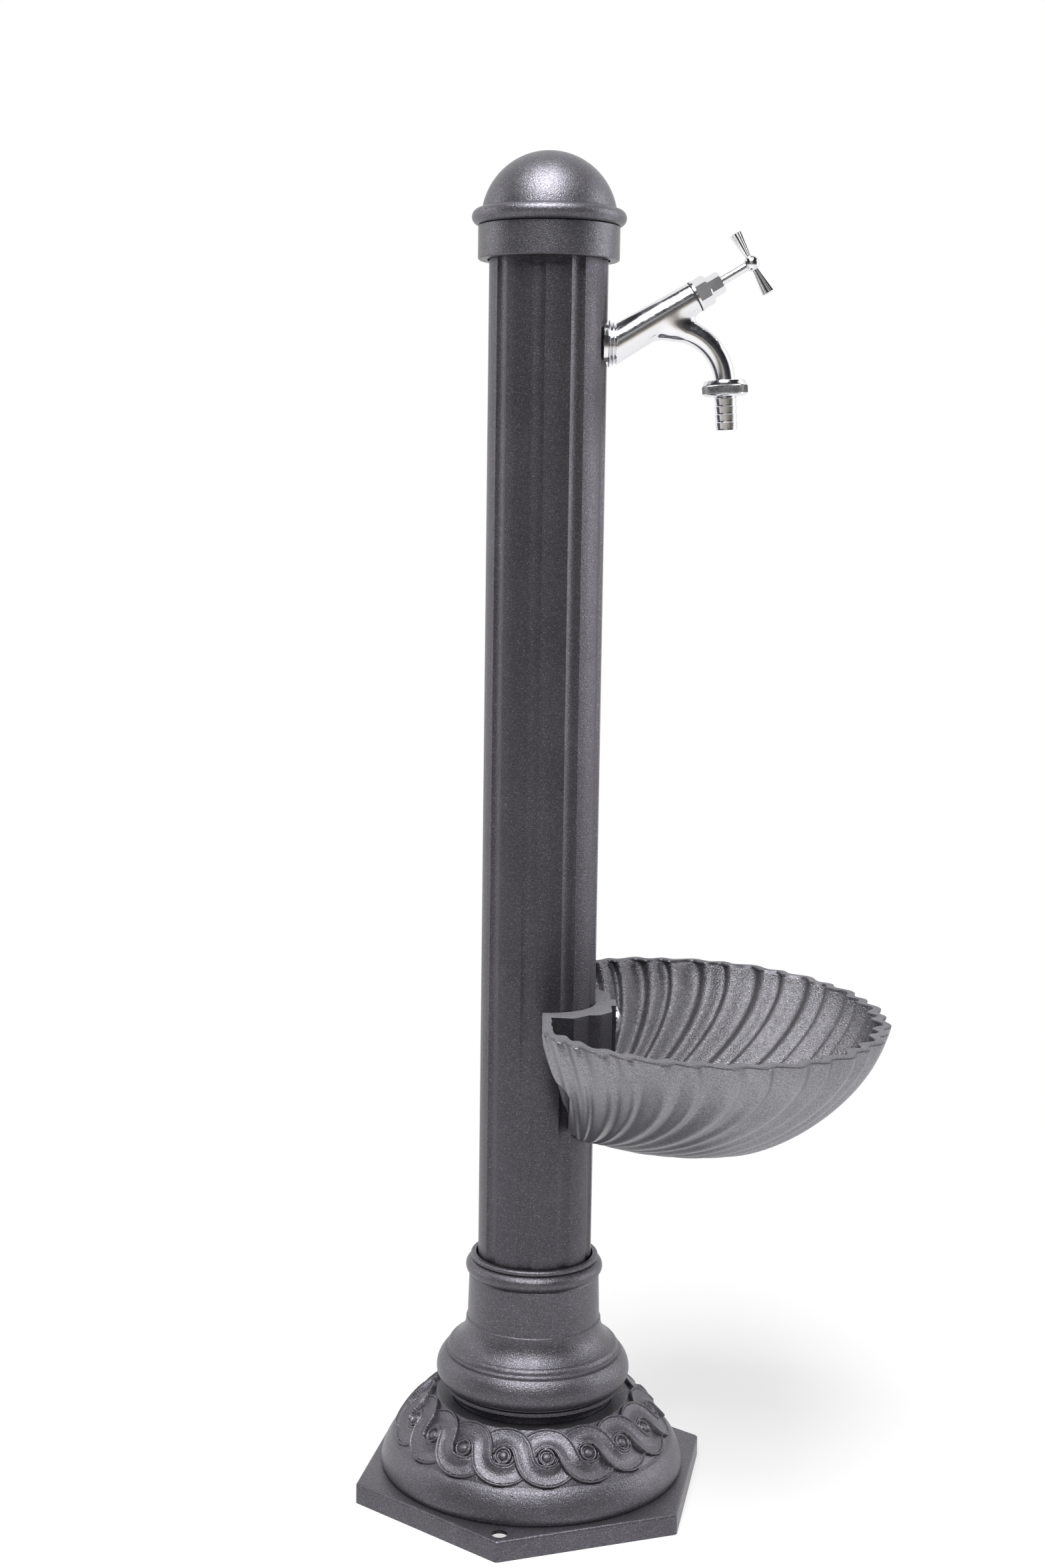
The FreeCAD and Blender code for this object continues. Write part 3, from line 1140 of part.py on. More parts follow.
faulty = [item.Name for item in doc.Objects if "Invalid" in item.State or "Error" in item.State]
for name in faulty:
    print(name, doc.getObject(name).getStatusString())
assert not faulty, "objects that didn't compute: %s" % faulty
os.makedirs("parts", exist_ok=True)
for name in NODES:
    item = doc.getObject(name)
    item.Label = name
    shape = item.Shape
    assert not shape.isNull() and shape.isValid(), name + " has no valid shape"
    assert len(shape.Solids) == 1, "%s has %d solids" % (name, len(shape.Solids))
    box = shape.optimalBoundingBox(False, False)
    print("%-22s volume %10.1f  x %8.2f %8.2f  y %8.2f %8.2f  z %8.2f %8.2f" % (
        name, shape.Volume, box.XMin, box.XMax, box.YMin, box.YMax, box.ZMin, box.ZMax))
    shape.exportStep("parts/%s.step" % name)
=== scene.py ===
"""Looks of the column fountain with its basin.

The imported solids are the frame. The cast pieces get a dark powder coat with a fine sparkle, the tap is
polished chrome, and the carved bell, the fluted basin and the tap's body are modelled here in full.
Outlines are written in millimetres and turned into metres when a mesh is made.
"""

import math

import bpy
import numpy as np
from mathutils import Matrix, Vector
from mathutils.kdtree import KDTree


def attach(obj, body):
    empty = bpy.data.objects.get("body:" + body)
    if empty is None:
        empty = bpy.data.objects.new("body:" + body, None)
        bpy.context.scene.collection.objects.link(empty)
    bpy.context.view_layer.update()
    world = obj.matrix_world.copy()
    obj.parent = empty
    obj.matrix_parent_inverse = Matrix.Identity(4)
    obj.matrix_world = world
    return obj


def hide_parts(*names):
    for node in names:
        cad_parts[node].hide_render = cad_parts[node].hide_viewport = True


MM = 0.001

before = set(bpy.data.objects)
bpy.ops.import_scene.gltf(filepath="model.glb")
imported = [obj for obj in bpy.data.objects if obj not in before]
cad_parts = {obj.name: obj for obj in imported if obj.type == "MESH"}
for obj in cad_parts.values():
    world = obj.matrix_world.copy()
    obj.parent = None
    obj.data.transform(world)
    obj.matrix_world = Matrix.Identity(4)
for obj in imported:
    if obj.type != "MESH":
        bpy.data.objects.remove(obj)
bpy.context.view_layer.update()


# Materials

def material(name):
    """A new node material and its main shader."""
    made = bpy.data.materials.new(name)
    made.use_nodes = True
    return made, made.node_tree.nodes["Principled BSDF"]


def node(made, kind, inputs=None, **settings):
    """A node with its settings and inputs; an input that is a socket is linked."""
    tree = made.node_tree
    item = tree.nodes.new("ShaderNode" + kind)
    for key, value in settings.items():
        setattr(item, key, value)
    for key, value in (inputs or {}).items():
        if isinstance(value, bpy.types.NodeSocket):
            tree.links.new(value, item.inputs[key])
        else:
            item.inputs[key].default_value = value
    return item


def link(made, source, target):
    """One socket joined to another."""
    made.node_tree.links.new(source, target)


def ramp(made, factor, low, high, low_value=0.0, high_value=1.0):
    """A factor stretched from one range to another."""
    item = node(made, "MapRange", {"Value": factor, "From Min": low, "From Max": high,
                                   "To Min": low_value, "To Max": high_value})
    return item.outputs["Result"]


def blend(made, factor, first, second):
    """Two colours mixed by a factor."""
    item = node(made, "Mix", data_type="RGBA")
    link(made, factor, item.inputs["Factor"])
    for index, value in ((6, first), (7, second)):
        if isinstance(value, bpy.types.NodeSocket):
            link(made, value, item.inputs[index])
        else:
            item.inputs[index].default_value = (*value, 1.0)
    return item.outputs[2]


CLOUD_SCALE = 22.0
SKIN_SCALE = 950.0
FLAKE_SCALE = 2100.0
FLAKE_SPREAD = (0.66, 1.3)
SILVER_FROM = 0.93


def coat(name, colour, fleck=0.35, grain=1.0, rough=0.35, metallic=0.78):
    """Powder coat on a casting: metal flake in a dark lacquer, a grainy skin and fine silver flecks."""
    made, shader = material(name)
    place = node(made, "TexCoord").outputs["Object"]
    clouds = node(made, "TexNoise", {"Vector": place, "Scale": CLOUD_SCALE, "Detail": 3.0}
                  ).outputs["Fac"]
    skin = node(made, "TexNoise", {"Vector": place, "Scale": SKIN_SCALE, "Detail": 3.0, "Roughness": 0.6}
                ).outputs["Fac"]
    cells = node(made, "TexVoronoi", {"Vector": place, "Scale": FLAKE_SCALE})
    chance = node(made, "SeparateColor", {"Color": cells.outputs["Color"]}).outputs["Red"]
    spread = ramp(made, chance, 0.0, 1.0, *FLAKE_SPREAD)
    stars = ramp(made, chance, SILVER_FROM, 1.0, 0.0, fleck)
    dark = tuple(value * 0.9 for value in colour)
    light = tuple(value * 1.1 for value in colour)
    base = blend(made, ramp(made, clouds, 0.3, 0.7), dark, light)
    uneven = node(made, "VectorMath", {0: base, "Scale": spread}, operation="SCALE").outputs["Vector"]
    silver = tuple(min(value * 1.6 + 0.25, 0.8) for value in colour)
    link(made, blend(made, stars, uneven, silver), shader.inputs["Base Color"])
    shader.inputs["Metallic"].default_value = metallic
    link(made, ramp(made, skin, 0.3, 0.7, rough - 0.05, rough + 0.08), shader.inputs["Roughness"])
    bump = node(made, "Bump", {"Height": skin, "Strength": 0.6 * grain, "Distance": 0.0006})
    fine = node(made, "Bump", {"Height": chance, "Strength": 0.16 * grain, "Distance": 0.0002,
                               "Normal": bump.outputs["Normal"]})
    link(made, fine.outputs["Normal"], shader.inputs["Normal"])
    return made


def metal(name, colour, rough, wave=0.02, grain=400.0):
    """Bare or plated metal with a slightly uneven polish."""
    made, shader = material(name)
    place = node(made, "TexCoord").outputs["Object"]
    polish = node(made, "TexNoise", {"Vector": place, "Scale": grain, "Detail": 3.0}).outputs["Fac"]
    swell = node(made, "TexNoise", {"Vector": place, "Scale": 90.0, "Detail": 1.0}).outputs["Fac"]
    dull = tuple(value * 0.93 for value in colour)
    link(made, blend(made, swell, dull, colour), shader.inputs["Base Color"])
    shader.inputs["Metallic"].default_value = 1.0
    link(made, ramp(made, polish, 0.25, 0.75, rough * 0.7, rough * 1.4), shader.inputs["Roughness"])
    bump = node(made, "Bump", {"Height": swell, "Strength": wave, "Distance": 0.002})
    link(made, bump.outputs["Normal"], shader.inputs["Normal"])
    return made


def rubber(name):
    """Dull black rubber."""
    made, shader = material(name)
    place = node(made, "TexCoord").outputs["Object"]
    grain = node(made, "TexNoise", {"Vector": place, "Scale": 1500.0, "Detail": 2.0}).outputs["Fac"]
    link(made, blend(made, grain, (0.018, 0.018, 0.019), (0.035, 0.035, 0.036)),
         shader.inputs["Base Color"])
    link(made, ramp(made, grain, 0.3, 0.7, 0.55, 0.75), shader.inputs["Roughness"])
    return made


BASE_COAT = coat("coat_base", (0.108, 0.103, 0.119))
# The column's coat is a darker copy of the base coat: painted shade for its upright, fluted sides.
COLUMN_SHADED_COAT = coat("coat_column_painted_shade", (0.078, 0.073, 0.087), grain=0.7)
CAP_COAT = coat("coat_cap", (0.112, 0.108, 0.124), grain=0.8)
BASIN_COAT = coat("coat_basin", (0.250, 0.246, 0.266), fleck=0.2, grain=0.6, rough=0.33, metallic=0.9)
# The basin's inside is a darker copy of its outer coat: painted shade in the bowl.
BASIN_INSIDE_SHADED = coat("coat_basin_inside_painted_shade", (0.168, 0.164, 0.179), fleck=0.45, grain=2.0, rough=0.29,
                    metallic=0.93)
# The saddle's coat is darker still: painted shade on the basin's wall against the column.
SADDLE_SHADE_COAT = coat("coat_saddle_painted_shade", (0.075, 0.072, 0.082), fleck=0.2, grain=0.5, rough=0.36)
RIM_COAT = coat("coat_rim", (0.15, 0.147, 0.160), fleck=0.3, grain=0.8, rough=0.8, metallic=0.5)
CHROME = metal("chrome", (0.82, 0.82, 0.845), 0.14)
KNURL = metal("chrome_knurl", (0.60, 0.60, 0.62), 0.28)
STEEL = metal("steel", (0.50, 0.50, 0.51), 0.28, 0.05)
BRASS = metal("brass", (0.72, 0.53, 0.24), 0.24, 0.05)
RUBBER = rubber("rubber")

FINISHES = {
    "column": COLUMN_SHADED_COAT, "pedestal": BASE_COAT, "dome_cap": CAP_COAT, "base_flange": BASE_COAT,
    "basin": BASIN_COAT,
    "tie_rod": STEEL, "tie_rod_washer": STEEL, "tie_rod_nut": STEEL, "supply_pipe": STEEL,
    "tap_backing_washer": STEEL, "basin_backing_washer": STEEL, "basin_bolt_nut": STEEL,
    "inlet_fitting": BRASS, "inlet_lock_nut": BRASS, "pipe_nut_lower": BRASS,
    "pipe_nut_upper": BRASS, "tap_elbow": BRASS, "valve_carrier": BRASS,
    "bonnet_seal": RUBBER, "gland_packing": RUBBER, "valve_washer": RUBBER, "union_seal": RUBBER,
}
for name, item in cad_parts.items():
    item.data.materials.clear()
    item.data.materials.append(FINISHES.get(name, CHROME))


# Meshes

def piece(name, points, faces, body, finishes, indices=None, crease=35.0):
    """A mesh from points in millimetres that rides on a body; faces past the crease angle stay sharp."""
    mesh = bpy.data.meshes.new(name)
    mesh.from_pydata((np.asarray(points, float) * MM).tolist(), [], [list(face) for face in faces])
    for finish in finishes:
        mesh.materials.append(finish)
    if indices is not None:
        mesh.polygons.foreach_set("material_index", np.asarray(indices, np.int32))
    mesh.polygons.foreach_set("use_smooth", np.ones(len(mesh.polygons), bool))
    mesh.set_sharp_from_angle(angle=math.radians(crease))
    mesh.update()
    item = bpy.data.objects.new(name, mesh)
    bpy.context.scene.collection.objects.link(item)
    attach(item, body)
    return item


def arc(centre, radius, start, stop, count):
    """Points on an arc in an outline, angles in degrees from outward, both ends counted."""
    angles = np.radians(np.linspace(start, stop, count))
    return [(centre[0] + radius * math.cos(a), centre[1] + radius * math.sin(a)) for a in angles]


def ring_faces(rows, count, closed=False, downward=False):
    """Faces between rings of points; the rings are stacked upward, or downward from the top one."""
    faces = []
    for row in range(rows if closed else rows - 1):
        low, high = row * count, (row + 1) % rows * count
        if downward:
            low, high = high, low
        for step in range(count):
            following = (step + 1) % count
            faces.append((low + step, low + following, high + following, high + step))
    return faces


def turned(name, outline, body, finish, turn, count=160, crease=35.0):
    """A piece turned from an outline of (radius, height) in millimetres; turn carries it into place."""
    outline = np.asarray(outline, float)
    rows = len(outline)
    angles = np.linspace(0, 2 * math.pi, count, endpoint=False)
    points = np.empty((rows, count, 3))
    points[:, :, 0] = outline[:, :1] * np.cos(angles)
    points[:, :, 1] = outline[:, :1] * np.sin(angles)
    points[:, :, 2] = outline[:, 1:]
    points = points.reshape(-1, 3)
    points = points @ np.array(turn.to_3x3()).T + np.array(turn.translation)
    return piece(name, points, ring_faces(rows, count, closed=True), body, [finish], crease=crease)


# Solids cut from one another

def prism(outline, low, high, axis="Z"):
    """Points and faces of a block from its plan outline, or with axis Y from its side outline."""
    count = len(outline)
    if axis == "Z":
        points = [(x, y, low) for x, y in outline] + [(x, y, high) for x, y in outline]
    else:
        points = [(x, high, z) for x, z in outline] + [(x, low, z) for x, z in outline]
    faces = [tuple(reversed(range(count))), tuple(range(count, 2 * count))]
    for step in range(count):
        following = (step + 1) % count
        faces.append((step, following, count + following, count + step))
    return points, faces


def rough(name, points, faces, finishes, indices=None):
    """A mesh object used only while solids are cut from one another."""
    mesh = bpy.data.meshes.new(name)
    mesh.from_pydata((np.asarray(points, float) * MM).tolist(), [], [list(face) for face in faces])
    for finish in finishes:
        mesh.materials.append(finish)
    if indices is not None:
        mesh.polygons.foreach_set("material_index", np.asarray(indices, np.int32))
    mesh.update()
    item = bpy.data.objects.new(name, mesh)
    bpy.context.scene.collection.objects.link(item)
    return item


def carve(item, *tools):
    """The object's mesh with the tools cut out of it, one after another."""
    for tool in tools:
        change = item.modifiers.new("carve", "BOOLEAN")
        change.operation = "DIFFERENCE"
        change.solver = "EXACT"
        change.object = tool
        change.material_mode = "TRANSFER"
        bpy.context.view_layer.update()
        changed = item.evaluated_get(bpy.context.evaluated_depsgraph_get())
        result = bpy.data.meshes.new_from_object(changed)
        item.modifiers.clear()
        item.data = result
        bpy.data.objects.remove(tool)
    return item


def gather(*items):
    """Points in millimetres and faces of several rough solids together; the solids are used up."""
    points, faces = [], []
    for item in items:
        first = len(points)
        points += [tuple(vertex.co / MM) for vertex in item.data.vertices]
        faces += [[first + index for index in face.vertices] for face in item.data.polygons]
        bpy.data.objects.remove(item)
    return points, faces


def circle(radius, x=0.0, y=0.0, count=48):
    """Plan outline of a round hole or boss."""
    return [(x + radius * math.cos(a), y + radius * math.sin(a))
            for a in np.linspace(0, 2 * math.pi, count, endpoint=False)]


# The bell of the base, with its carved running braid

EYES = 18
FIRST_EYE = -3.0
STRAND_SWING = 13.2
STRAND_LIFT = 0.6
STRAND_STEEP = 0.60
STRAND_HALF = 7.3
STRAND_HOLLOW = 1.15
STRAND_RISE = 1.6
CROSSING_LIFT = 1.25
BEAD = 0.75
GROOVE = 0.75
GROOVE_WIDTH = 0.42
MOAT = 2.4
BRAID_FOOT = -14
BRAID_TOP = 8
GROUND = -9.0
RING_RADIUS = 5.2
RING_HALF = 0.85
BUTTON_RADIUS = 3.2
BAND_FOOT = Vector((98.3, 37.6))
BAND_TOP = Vector((70.6, 67.4))
BAND_BOW = 95.0


def band_point(share):
    """A point of the bell's band outline and its outward normal, from foot (0) to top (1)."""
    chord = BAND_TOP - BAND_FOOT
    left = Vector((-chord.y, chord.x)).normalized()
    back = math.sqrt(BAND_BOW ** 2 - (chord.length / 2) ** 2)
    centre = (BAND_FOOT + BAND_TOP) / 2 + left * back
    start = BAND_FOOT - centre
    swing = start.angle_signed(BAND_TOP - centre)
    turn = -swing * share
    out = Vector((start.x * math.cos(turn) - start.y * math.sin(turn),
                  start.x * math.sin(turn) + start.y * math.cos(turn)))
    return centre + out, out.normalized()


BAND_LENGTH = (BAND_TOP - BAND_FOOT).length * 1.008
SHARES = np.linspace(-0.06, 1.06, 400)
BAND_SPOTS = np.array([band_point(share)[0] for share in SHARES])


def on_band(turns, along):
    """Points on the plain bell at plan angles in radians and places along the band in millimetres."""
    share = 0.5 + np.asarray(along) / BAND_LENGTH
    radius = np.interp(share, SHARES, BAND_SPOTS[:, 0])
    height = np.interp(share, SHARES, BAND_SPOTS[:, 1])
    return np.stack([radius * np.cos(turns), radius * np.sin(turns), height], axis=-1)


def nearest(points, curve):
    """Distance from each point to a curve given as points, and where along the curve it is."""
    tree = KDTree(len(curve))
    for index, spot in enumerate(curve):
        tree.insert(spot, index)
    tree.balance()
    found = [tree.find(spot)[1:] for spot in points]
    return np.array([item[1] for item in found]), np.array([item[0] for item in found])


def strand_height(distance):
    """Cross-section of a strand: a hollowed middle, a groove and a raised bead at each edge."""
    inner = STRAND_HALF - 2 * BEAD
    hollow = -STRAND_HOLLOW + STRAND_RISE * np.clip(distance / inner, 0, 1) ** 1.7
    groove = -GROOVE * np.exp(-((distance - inner - 0.1) / GROOVE_WIDTH) ** 2)
    across = np.clip((distance - STRAND_HALF + BEAD) / BEAD, -1, 1)
    bead = 0.1 + 1.0 * np.sqrt(1 - across ** 2)
    height = np.where(distance < inner, hollow + groove, np.maximum(bead, 0.35 + groove))
    return np.where(distance < STRAND_HALF, height, GROUND)


def braid(turns, along):
    """Height of the carving above the plain bell, at plan angles and places along the band."""
    period = 2 * math.pi / EYES
    first = math.radians(FIRST_EYE)
    spots = on_band(turns, along)
    height = np.full(turns.shape, GROUND)
    for strand in (0, 1):
        marks = np.linspace(-1.5, 3.5, 1600)
        phase = marks + STRAND_STEEP / (2 * math.pi) * np.sin(2 * math.pi * marks)
        swing = STRAND_SWING * np.cos(math.pi * (marks + strand))
        line = on_band(phase * period + first, STRAND_LIFT + swing)
        gap, index = nearest(spots, line)
        lift = CROSSING_LIFT * np.sin(math.pi * (marks[index] + strand))
        height = np.maximum(height, strand_height(gap) + lift)
    for eye in range(3):
        centre = on_band(np.array([eye * period + first]), np.array([STRAND_LIFT]))[0]
        reach = np.linalg.norm(spots - centre, axis=1)
        ring = -0.35 + 1.25 * np.sqrt(np.clip(1 - ((reach - RING_RADIUS) / RING_HALF) ** 2, 0, 1))
        button = -0.8 + 2.0 * np.sqrt(np.clip(1 - (reach / BUTTON_RADIUS) ** 2, 0, 1))
        eye_form = np.maximum(np.where(reach < BUTTON_RADIUS, button, GROUND),
                              np.where(np.abs(reach - RING_RADIUS) < RING_HALF, ring, GROUND))
        raised = np.maximum(height, np.maximum(eye_form, -0.9))
        height = np.where(reach < RING_RADIUS + RING_HALF, raised, height)
    foot = np.clip((along - BRAID_FOOT) / 4, 0, 1)
    ground = np.where(along > BRAID_TOP, -MOAT, -1.1 - 0.7 * foot)
    return np.maximum(height, ground)


def bell_rows(turns):
    """Rows of (radii, levels) round the bell: outside with the braid, moat, web edge and hollow side."""
    count = len(turns)
    lower = [(104.6, 10.4), (104.6, 14.0), (105.9, 14.3), (106.2, 14.9), (106.8, 15.8), (107.4, 17.0)]
    skirt = arc((75.6, 15.4), 32.1, 6, 41.5, 12)
    along = np.concatenate([np.linspace(-BAND_LENGTH / 2 + 0.4, 12, 74), np.linspace(12.4, 21.6, 30)])
    grid_turns, grid_along = np.meshgrid(turns, along)
    height = braid(grid_turns.ravel(), grid_along.ravel()).reshape(len(along), count)
    rows = [(np.full(count, r), np.full(count, z)) for r, z in lower + skirt]
    for place, raised in zip(along, height):
        spot, normal = band_point(0.5 + place / BAND_LENGTH)
        rows.append((spot.x + normal.x * raised, spot.y + normal.y * raised))
    inner = [(66.5, 65.6), (57.6, 65.0), (57.3, 62.2), (52.0, 62.0), (52.0, 56.2), (66.0, 56.2),
             (78.0, 52.5), (92.0, 31.0), (98.0, 16.0), (100.6, 12.0), (100.6, 10.4)]
    return rows + [(np.full(count, r), np.full(count, z)) for r, z in inner]


def make_bell():
    """The bell as a closed casting, its braid repeated round it."""
    around = 132
    period = 4 * math.pi / EYES
    turns = np.linspace(0, period, around, endpoint=False) + math.radians(FIRST_EYE)
    rows = bell_rows(turns)
    repeats = EYES // 2
    points = []
    for radius, level in rows:
        for repeat in range(repeats):
            angle = turns + repeat * period
            points.append(np.stack([radius * np.cos(angle), radius * np.sin(angle), level], axis=-1))
    faces = ring_faces(len(rows), around * repeats, closed=True)
    return rough("bell", np.concatenate(points), faces, [BASE_COAT])


PLATE_TURN = 20
PLATE_CORNER = 127.0
CORNER_ROUND = 3.0
PLATE_TOP = 14.5
EDGE_ROUND = 1.8
BOLT_PLACE = 118
BOLT_HOLE = 5.5
RELIEF_HALF = 8
RELIEF_REACH = 24
RELIEF_TOP = 12.0


def make_plate():
    """The six-sided plate with soft edges, open in the middle, its two bolt holes relieved below."""
    edge_foot = PLATE_TOP - EDGE_ROUND
    levels = [(0.0, 0.0)] + [(EDGE_ROUND * (1 - math.cos(a)), edge_foot + EDGE_ROUND * math.sin(a))
                             for a in np.linspace(0, math.pi / 2, 6)]
    outline = []
    for corner in range(6):
        place = PLATE_TURN + 60 * corner
        outline += [(math.radians(place + swing), math.radians(place))
                    for swing in np.linspace(-30, 30, 7)]
    points = []
    for inset, level in levels:
        round_reach = CORNER_ROUND - inset
        for facing, corner in outline:
            points.append((PLATE_CORNER * math.cos(corner) + round_reach * math.cos(facing),
                           PLATE_CORNER * math.sin(corner) + round_reach * math.sin(facing), level))
    count = len(outline)
    faces = ring_faces(len(levels), count)
    faces.append(tuple(reversed(range(count))))
    faces.append(tuple(range((len(levels) - 1) * count, len(levels) * count)))
    plate = rough("plate", points, faces, [BASE_COAT])
    cuts = [rough("middle", *prism(circle(104.3, count=180), -5, 30), [BASE_COAT])]
    for side in (PLATE_TURN - 120, PLATE_TURN + 60):
        ahead = Vector((math.cos(math.radians(side)), math.sin(math.radians(side))))
        beside = ahead.orthogonal()
        hole = ahead * BOLT_PLACE
        cuts.append(rough("bolt_hole", *prism(circle(BOLT_HOLE, *hole), -5, 30), [BASE_COAT]))
        round_end = [hole + ahead * (RELIEF_HALF * math.cos(a)) + beside * (RELIEF_HALF * math.sin(a))
                     for a in np.linspace(-math.pi / 2, math.pi / 2, 13)]
        back = hole - ahead * RELIEF_REACH
        corners = [back - beside * RELIEF_HALF] + round_end + [back + beside * RELIEF_HALF]
        relief = prism([tuple(spot) for spot in corners], -5, RELIEF_TOP)
        cuts.append(rough("bolt_relief", *relief, [BASE_COAT]))
    return carve(plate, *cuts)


WEB_RADIUS = 52.6
WEB_FOOT = 56.1
WEB_TOP = 62.0
ROD_HOLE = (4.5, -16)
INLET_HOLE = (11.7, 16)


def make_web():
    """The floor that the pedestal stands on, open for the tie rod and the water inlet."""
    web = rough("web", *prism(circle(WEB_RADIUS, count=180), WEB_FOOT, WEB_TOP), [BASE_COAT])
    rod = rough("rod_hole", *prism(circle(*ROD_HOLE), 40, 80), [BASE_COAT])
    inlet = rough("inlet_hole", *prism(circle(*INLET_HOLE), 40, 80), [BASE_COAT])
    return carve(web, rod, inlet)


def make_base():
    """Plate, bell and web as the one casting that they are."""
    points, faces = gather(make_plate(), make_bell(), make_web())
    base = piece("base_casting", points, faces, "stand", [BASE_COAT], crease=50.0)
    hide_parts("base_flange")


make_base()


# The shell basin

RIM = 351.0
RIM_TIP = math.radians(2.0)
RIM_MIDDLE = 75.0
RIM_ACROSS = 158.0
RIM_FORWARD = 126.5
RIM_BACK = 37.0
COLUMN_RADIUS = 40.0
FAN_HINGE = -2.0
DEPTH = 96.0
WALL = 6.5
FLUTE_STEP = 14.0
NARROW_FLUTE = 5.5
KEEL = 0.5
KEEL_LEAST = 0.075
KEEL_TURN = 78
BELLY_POWER = 2 / 1.5
OUTER_FLUTES = (4.2, 5.5, 2.1)
INNER_FLUTES = (5.2, 7.0, 3.4)
FLUTE_LEAN = 0.07
FLUTES_END = 118
CHIP = 0.22
SADDLE_SIDE = [(54.5, 8.6), (53.9, 9.5), (51.0, 9.5), (51.0, 27.0), (50.3, 29.4), (48.5, 31.5),
               (42.75, 39.2), (39.0, 40.6), (35.0, 41.0), (24.5, 53.0), (-40.0, 53.0)]
BACK_CUT = [(-60, 200), (21.0, 200), (22.0, 203), (22.0, 309), (20.5, 311.4), (13, 317), (9.5, 324),
            (6, 333.5), (3.6, 342), (3, 345), (3, 420), (-60, 420)]


def rim_reach(angles, inset):
    """How far the plain rim lies from the fan's hinge in each direction, less an inset."""
    across, forward, back = RIM_ACROSS - inset, RIM_FORWARD - inset, RIM_BACK - inset
    low, high = np.zeros_like(angles), np.full_like(angles, 400.0)
    for attempt in range(40):
        middle = (low + high) / 2
        x = middle * np.cos(angles) + FAN_HINGE
        along = (x - RIM_MIDDLE) / forward
        beside = middle * np.abs(np.sin(angles)) / across
        power = np.where(along > 0, 2.0, 2.4)
        outside = (np.abs(along) ** power + beside ** power > 1) | (x < -back)
        low, high = np.where(outside, low, middle), np.where(outside, middle, high)
    return low


def waves(angles, level, narrow_depth, wide_depth, sunk):
    """The flutes' outward swell at a level: narrow and wide waves alternate, a narrow one at the tip.

    The flutes leave the rim steeply and only lower down run together towards the hinge.
    """
    lean = 1 + FLUTE_LEAN * math.sin(math.pi * min(level, 1.0))
    degrees = np.abs(np.degrees(angles)) * lean
    number = np.floor(degrees / FLUTE_STEP + 0.5)
    from_narrow = np.abs(degrees - number * FLUTE_STEP)
    narrow = from_narrow < NARROW_FLUTE / 2
    from_wide = np.abs(from_narrow - FLUTE_STEP / 2)
    share = np.where(narrow, from_narrow / (NARROW_FLUTE / 2),
                     from_wide / ((FLUTE_STEP - NARROW_FLUTE) / 2))
    swell = 0.5 + 0.5 * np.cos(math.pi * np.clip(share, 0, 1))
    fade = np.clip((FLUTES_END - degrees) / 12, 0, 1)
    return (np.where(narrow, narrow_depth, wide_depth) * swell - sunk) * fade


def shell_side(inset, levels, angles, swell):
    """Rows of points of one of the basin's surfaces from the rim down, about the hinge, rim at 0."""
    away = np.clip(np.degrees(np.abs(angles)) / KEEL_TURN, 0, 1)
    keel = KEEL * (1 - away * away * (3 - 2 * away)) + KEEL_LEAST
    length = rim_reach(angles, inset)
    rows = []
    for level in levels:
        turn = math.radians(90 * level)
        spread = keel + (1 - keel) * max(math.cos(turn), 0.0) ** BELLY_POWER
        out = length * spread + swell(level)
        fall = (DEPTH - inset) * math.sin(turn) ** BELLY_POWER
        rows.append((out, np.full_like(out, -fall)))
    return rows


def rim_rows(reach, steps):
    """Rows of points at the rim: each step is how far it lies out of the given reach, and its level."""
    return [(reach + out, np.full_like(reach, level)) for out, level in steps]


def shell_solid(name, angles, top_rows, side_rows, finishes):
    """One of the basin's two forms as a closed solid, tipped and put in its place on the column."""
    rows = top_rows + side_rows
    rows += [(rows[-1][0] * share, rows[-1][1]) for share in (0.85, 0.65, 0.4, 0.2)]
    count = len(angles)
    points = [np.stack([out * np.cos(angles) + FAN_HINGE, out * np.sin(angles), level], axis=-1)
              for out, level in rows]
    points.append(np.array([[FAN_HINGE, 0, rows[-1][1][0]], [60.0, 0, rows[0][1].max()]]))
    points = np.concatenate(points)
    wave, lift = math.cos(RIM_TIP), math.sin(RIM_TIP)
    place_x = COLUMN_RADIUS + points[:, 0] * wave + points[:, 2] * lift
    place_z = RIM - points[:, 0] * lift + points[:, 2] * wave
    points = np.stack([place_x, points[:, 1], place_z], axis=-1)
    faces = ring_faces(len(rows), count, downward=True)
    indices = [1 if row < len(top_rows) else 0 for row in range(len(rows) - 1) for step in range(count)]
    bottom, top = len(rows) * count, len(rows) * count + 1
    last = (len(rows) - 1) * count
    for step in range(count):
        following = (step + 1) % count
        faces += [(last + following, last + step, bottom), (step, following, top)]
        indices += [0, 1]
    return rough(name, points, faces, finishes, indices)


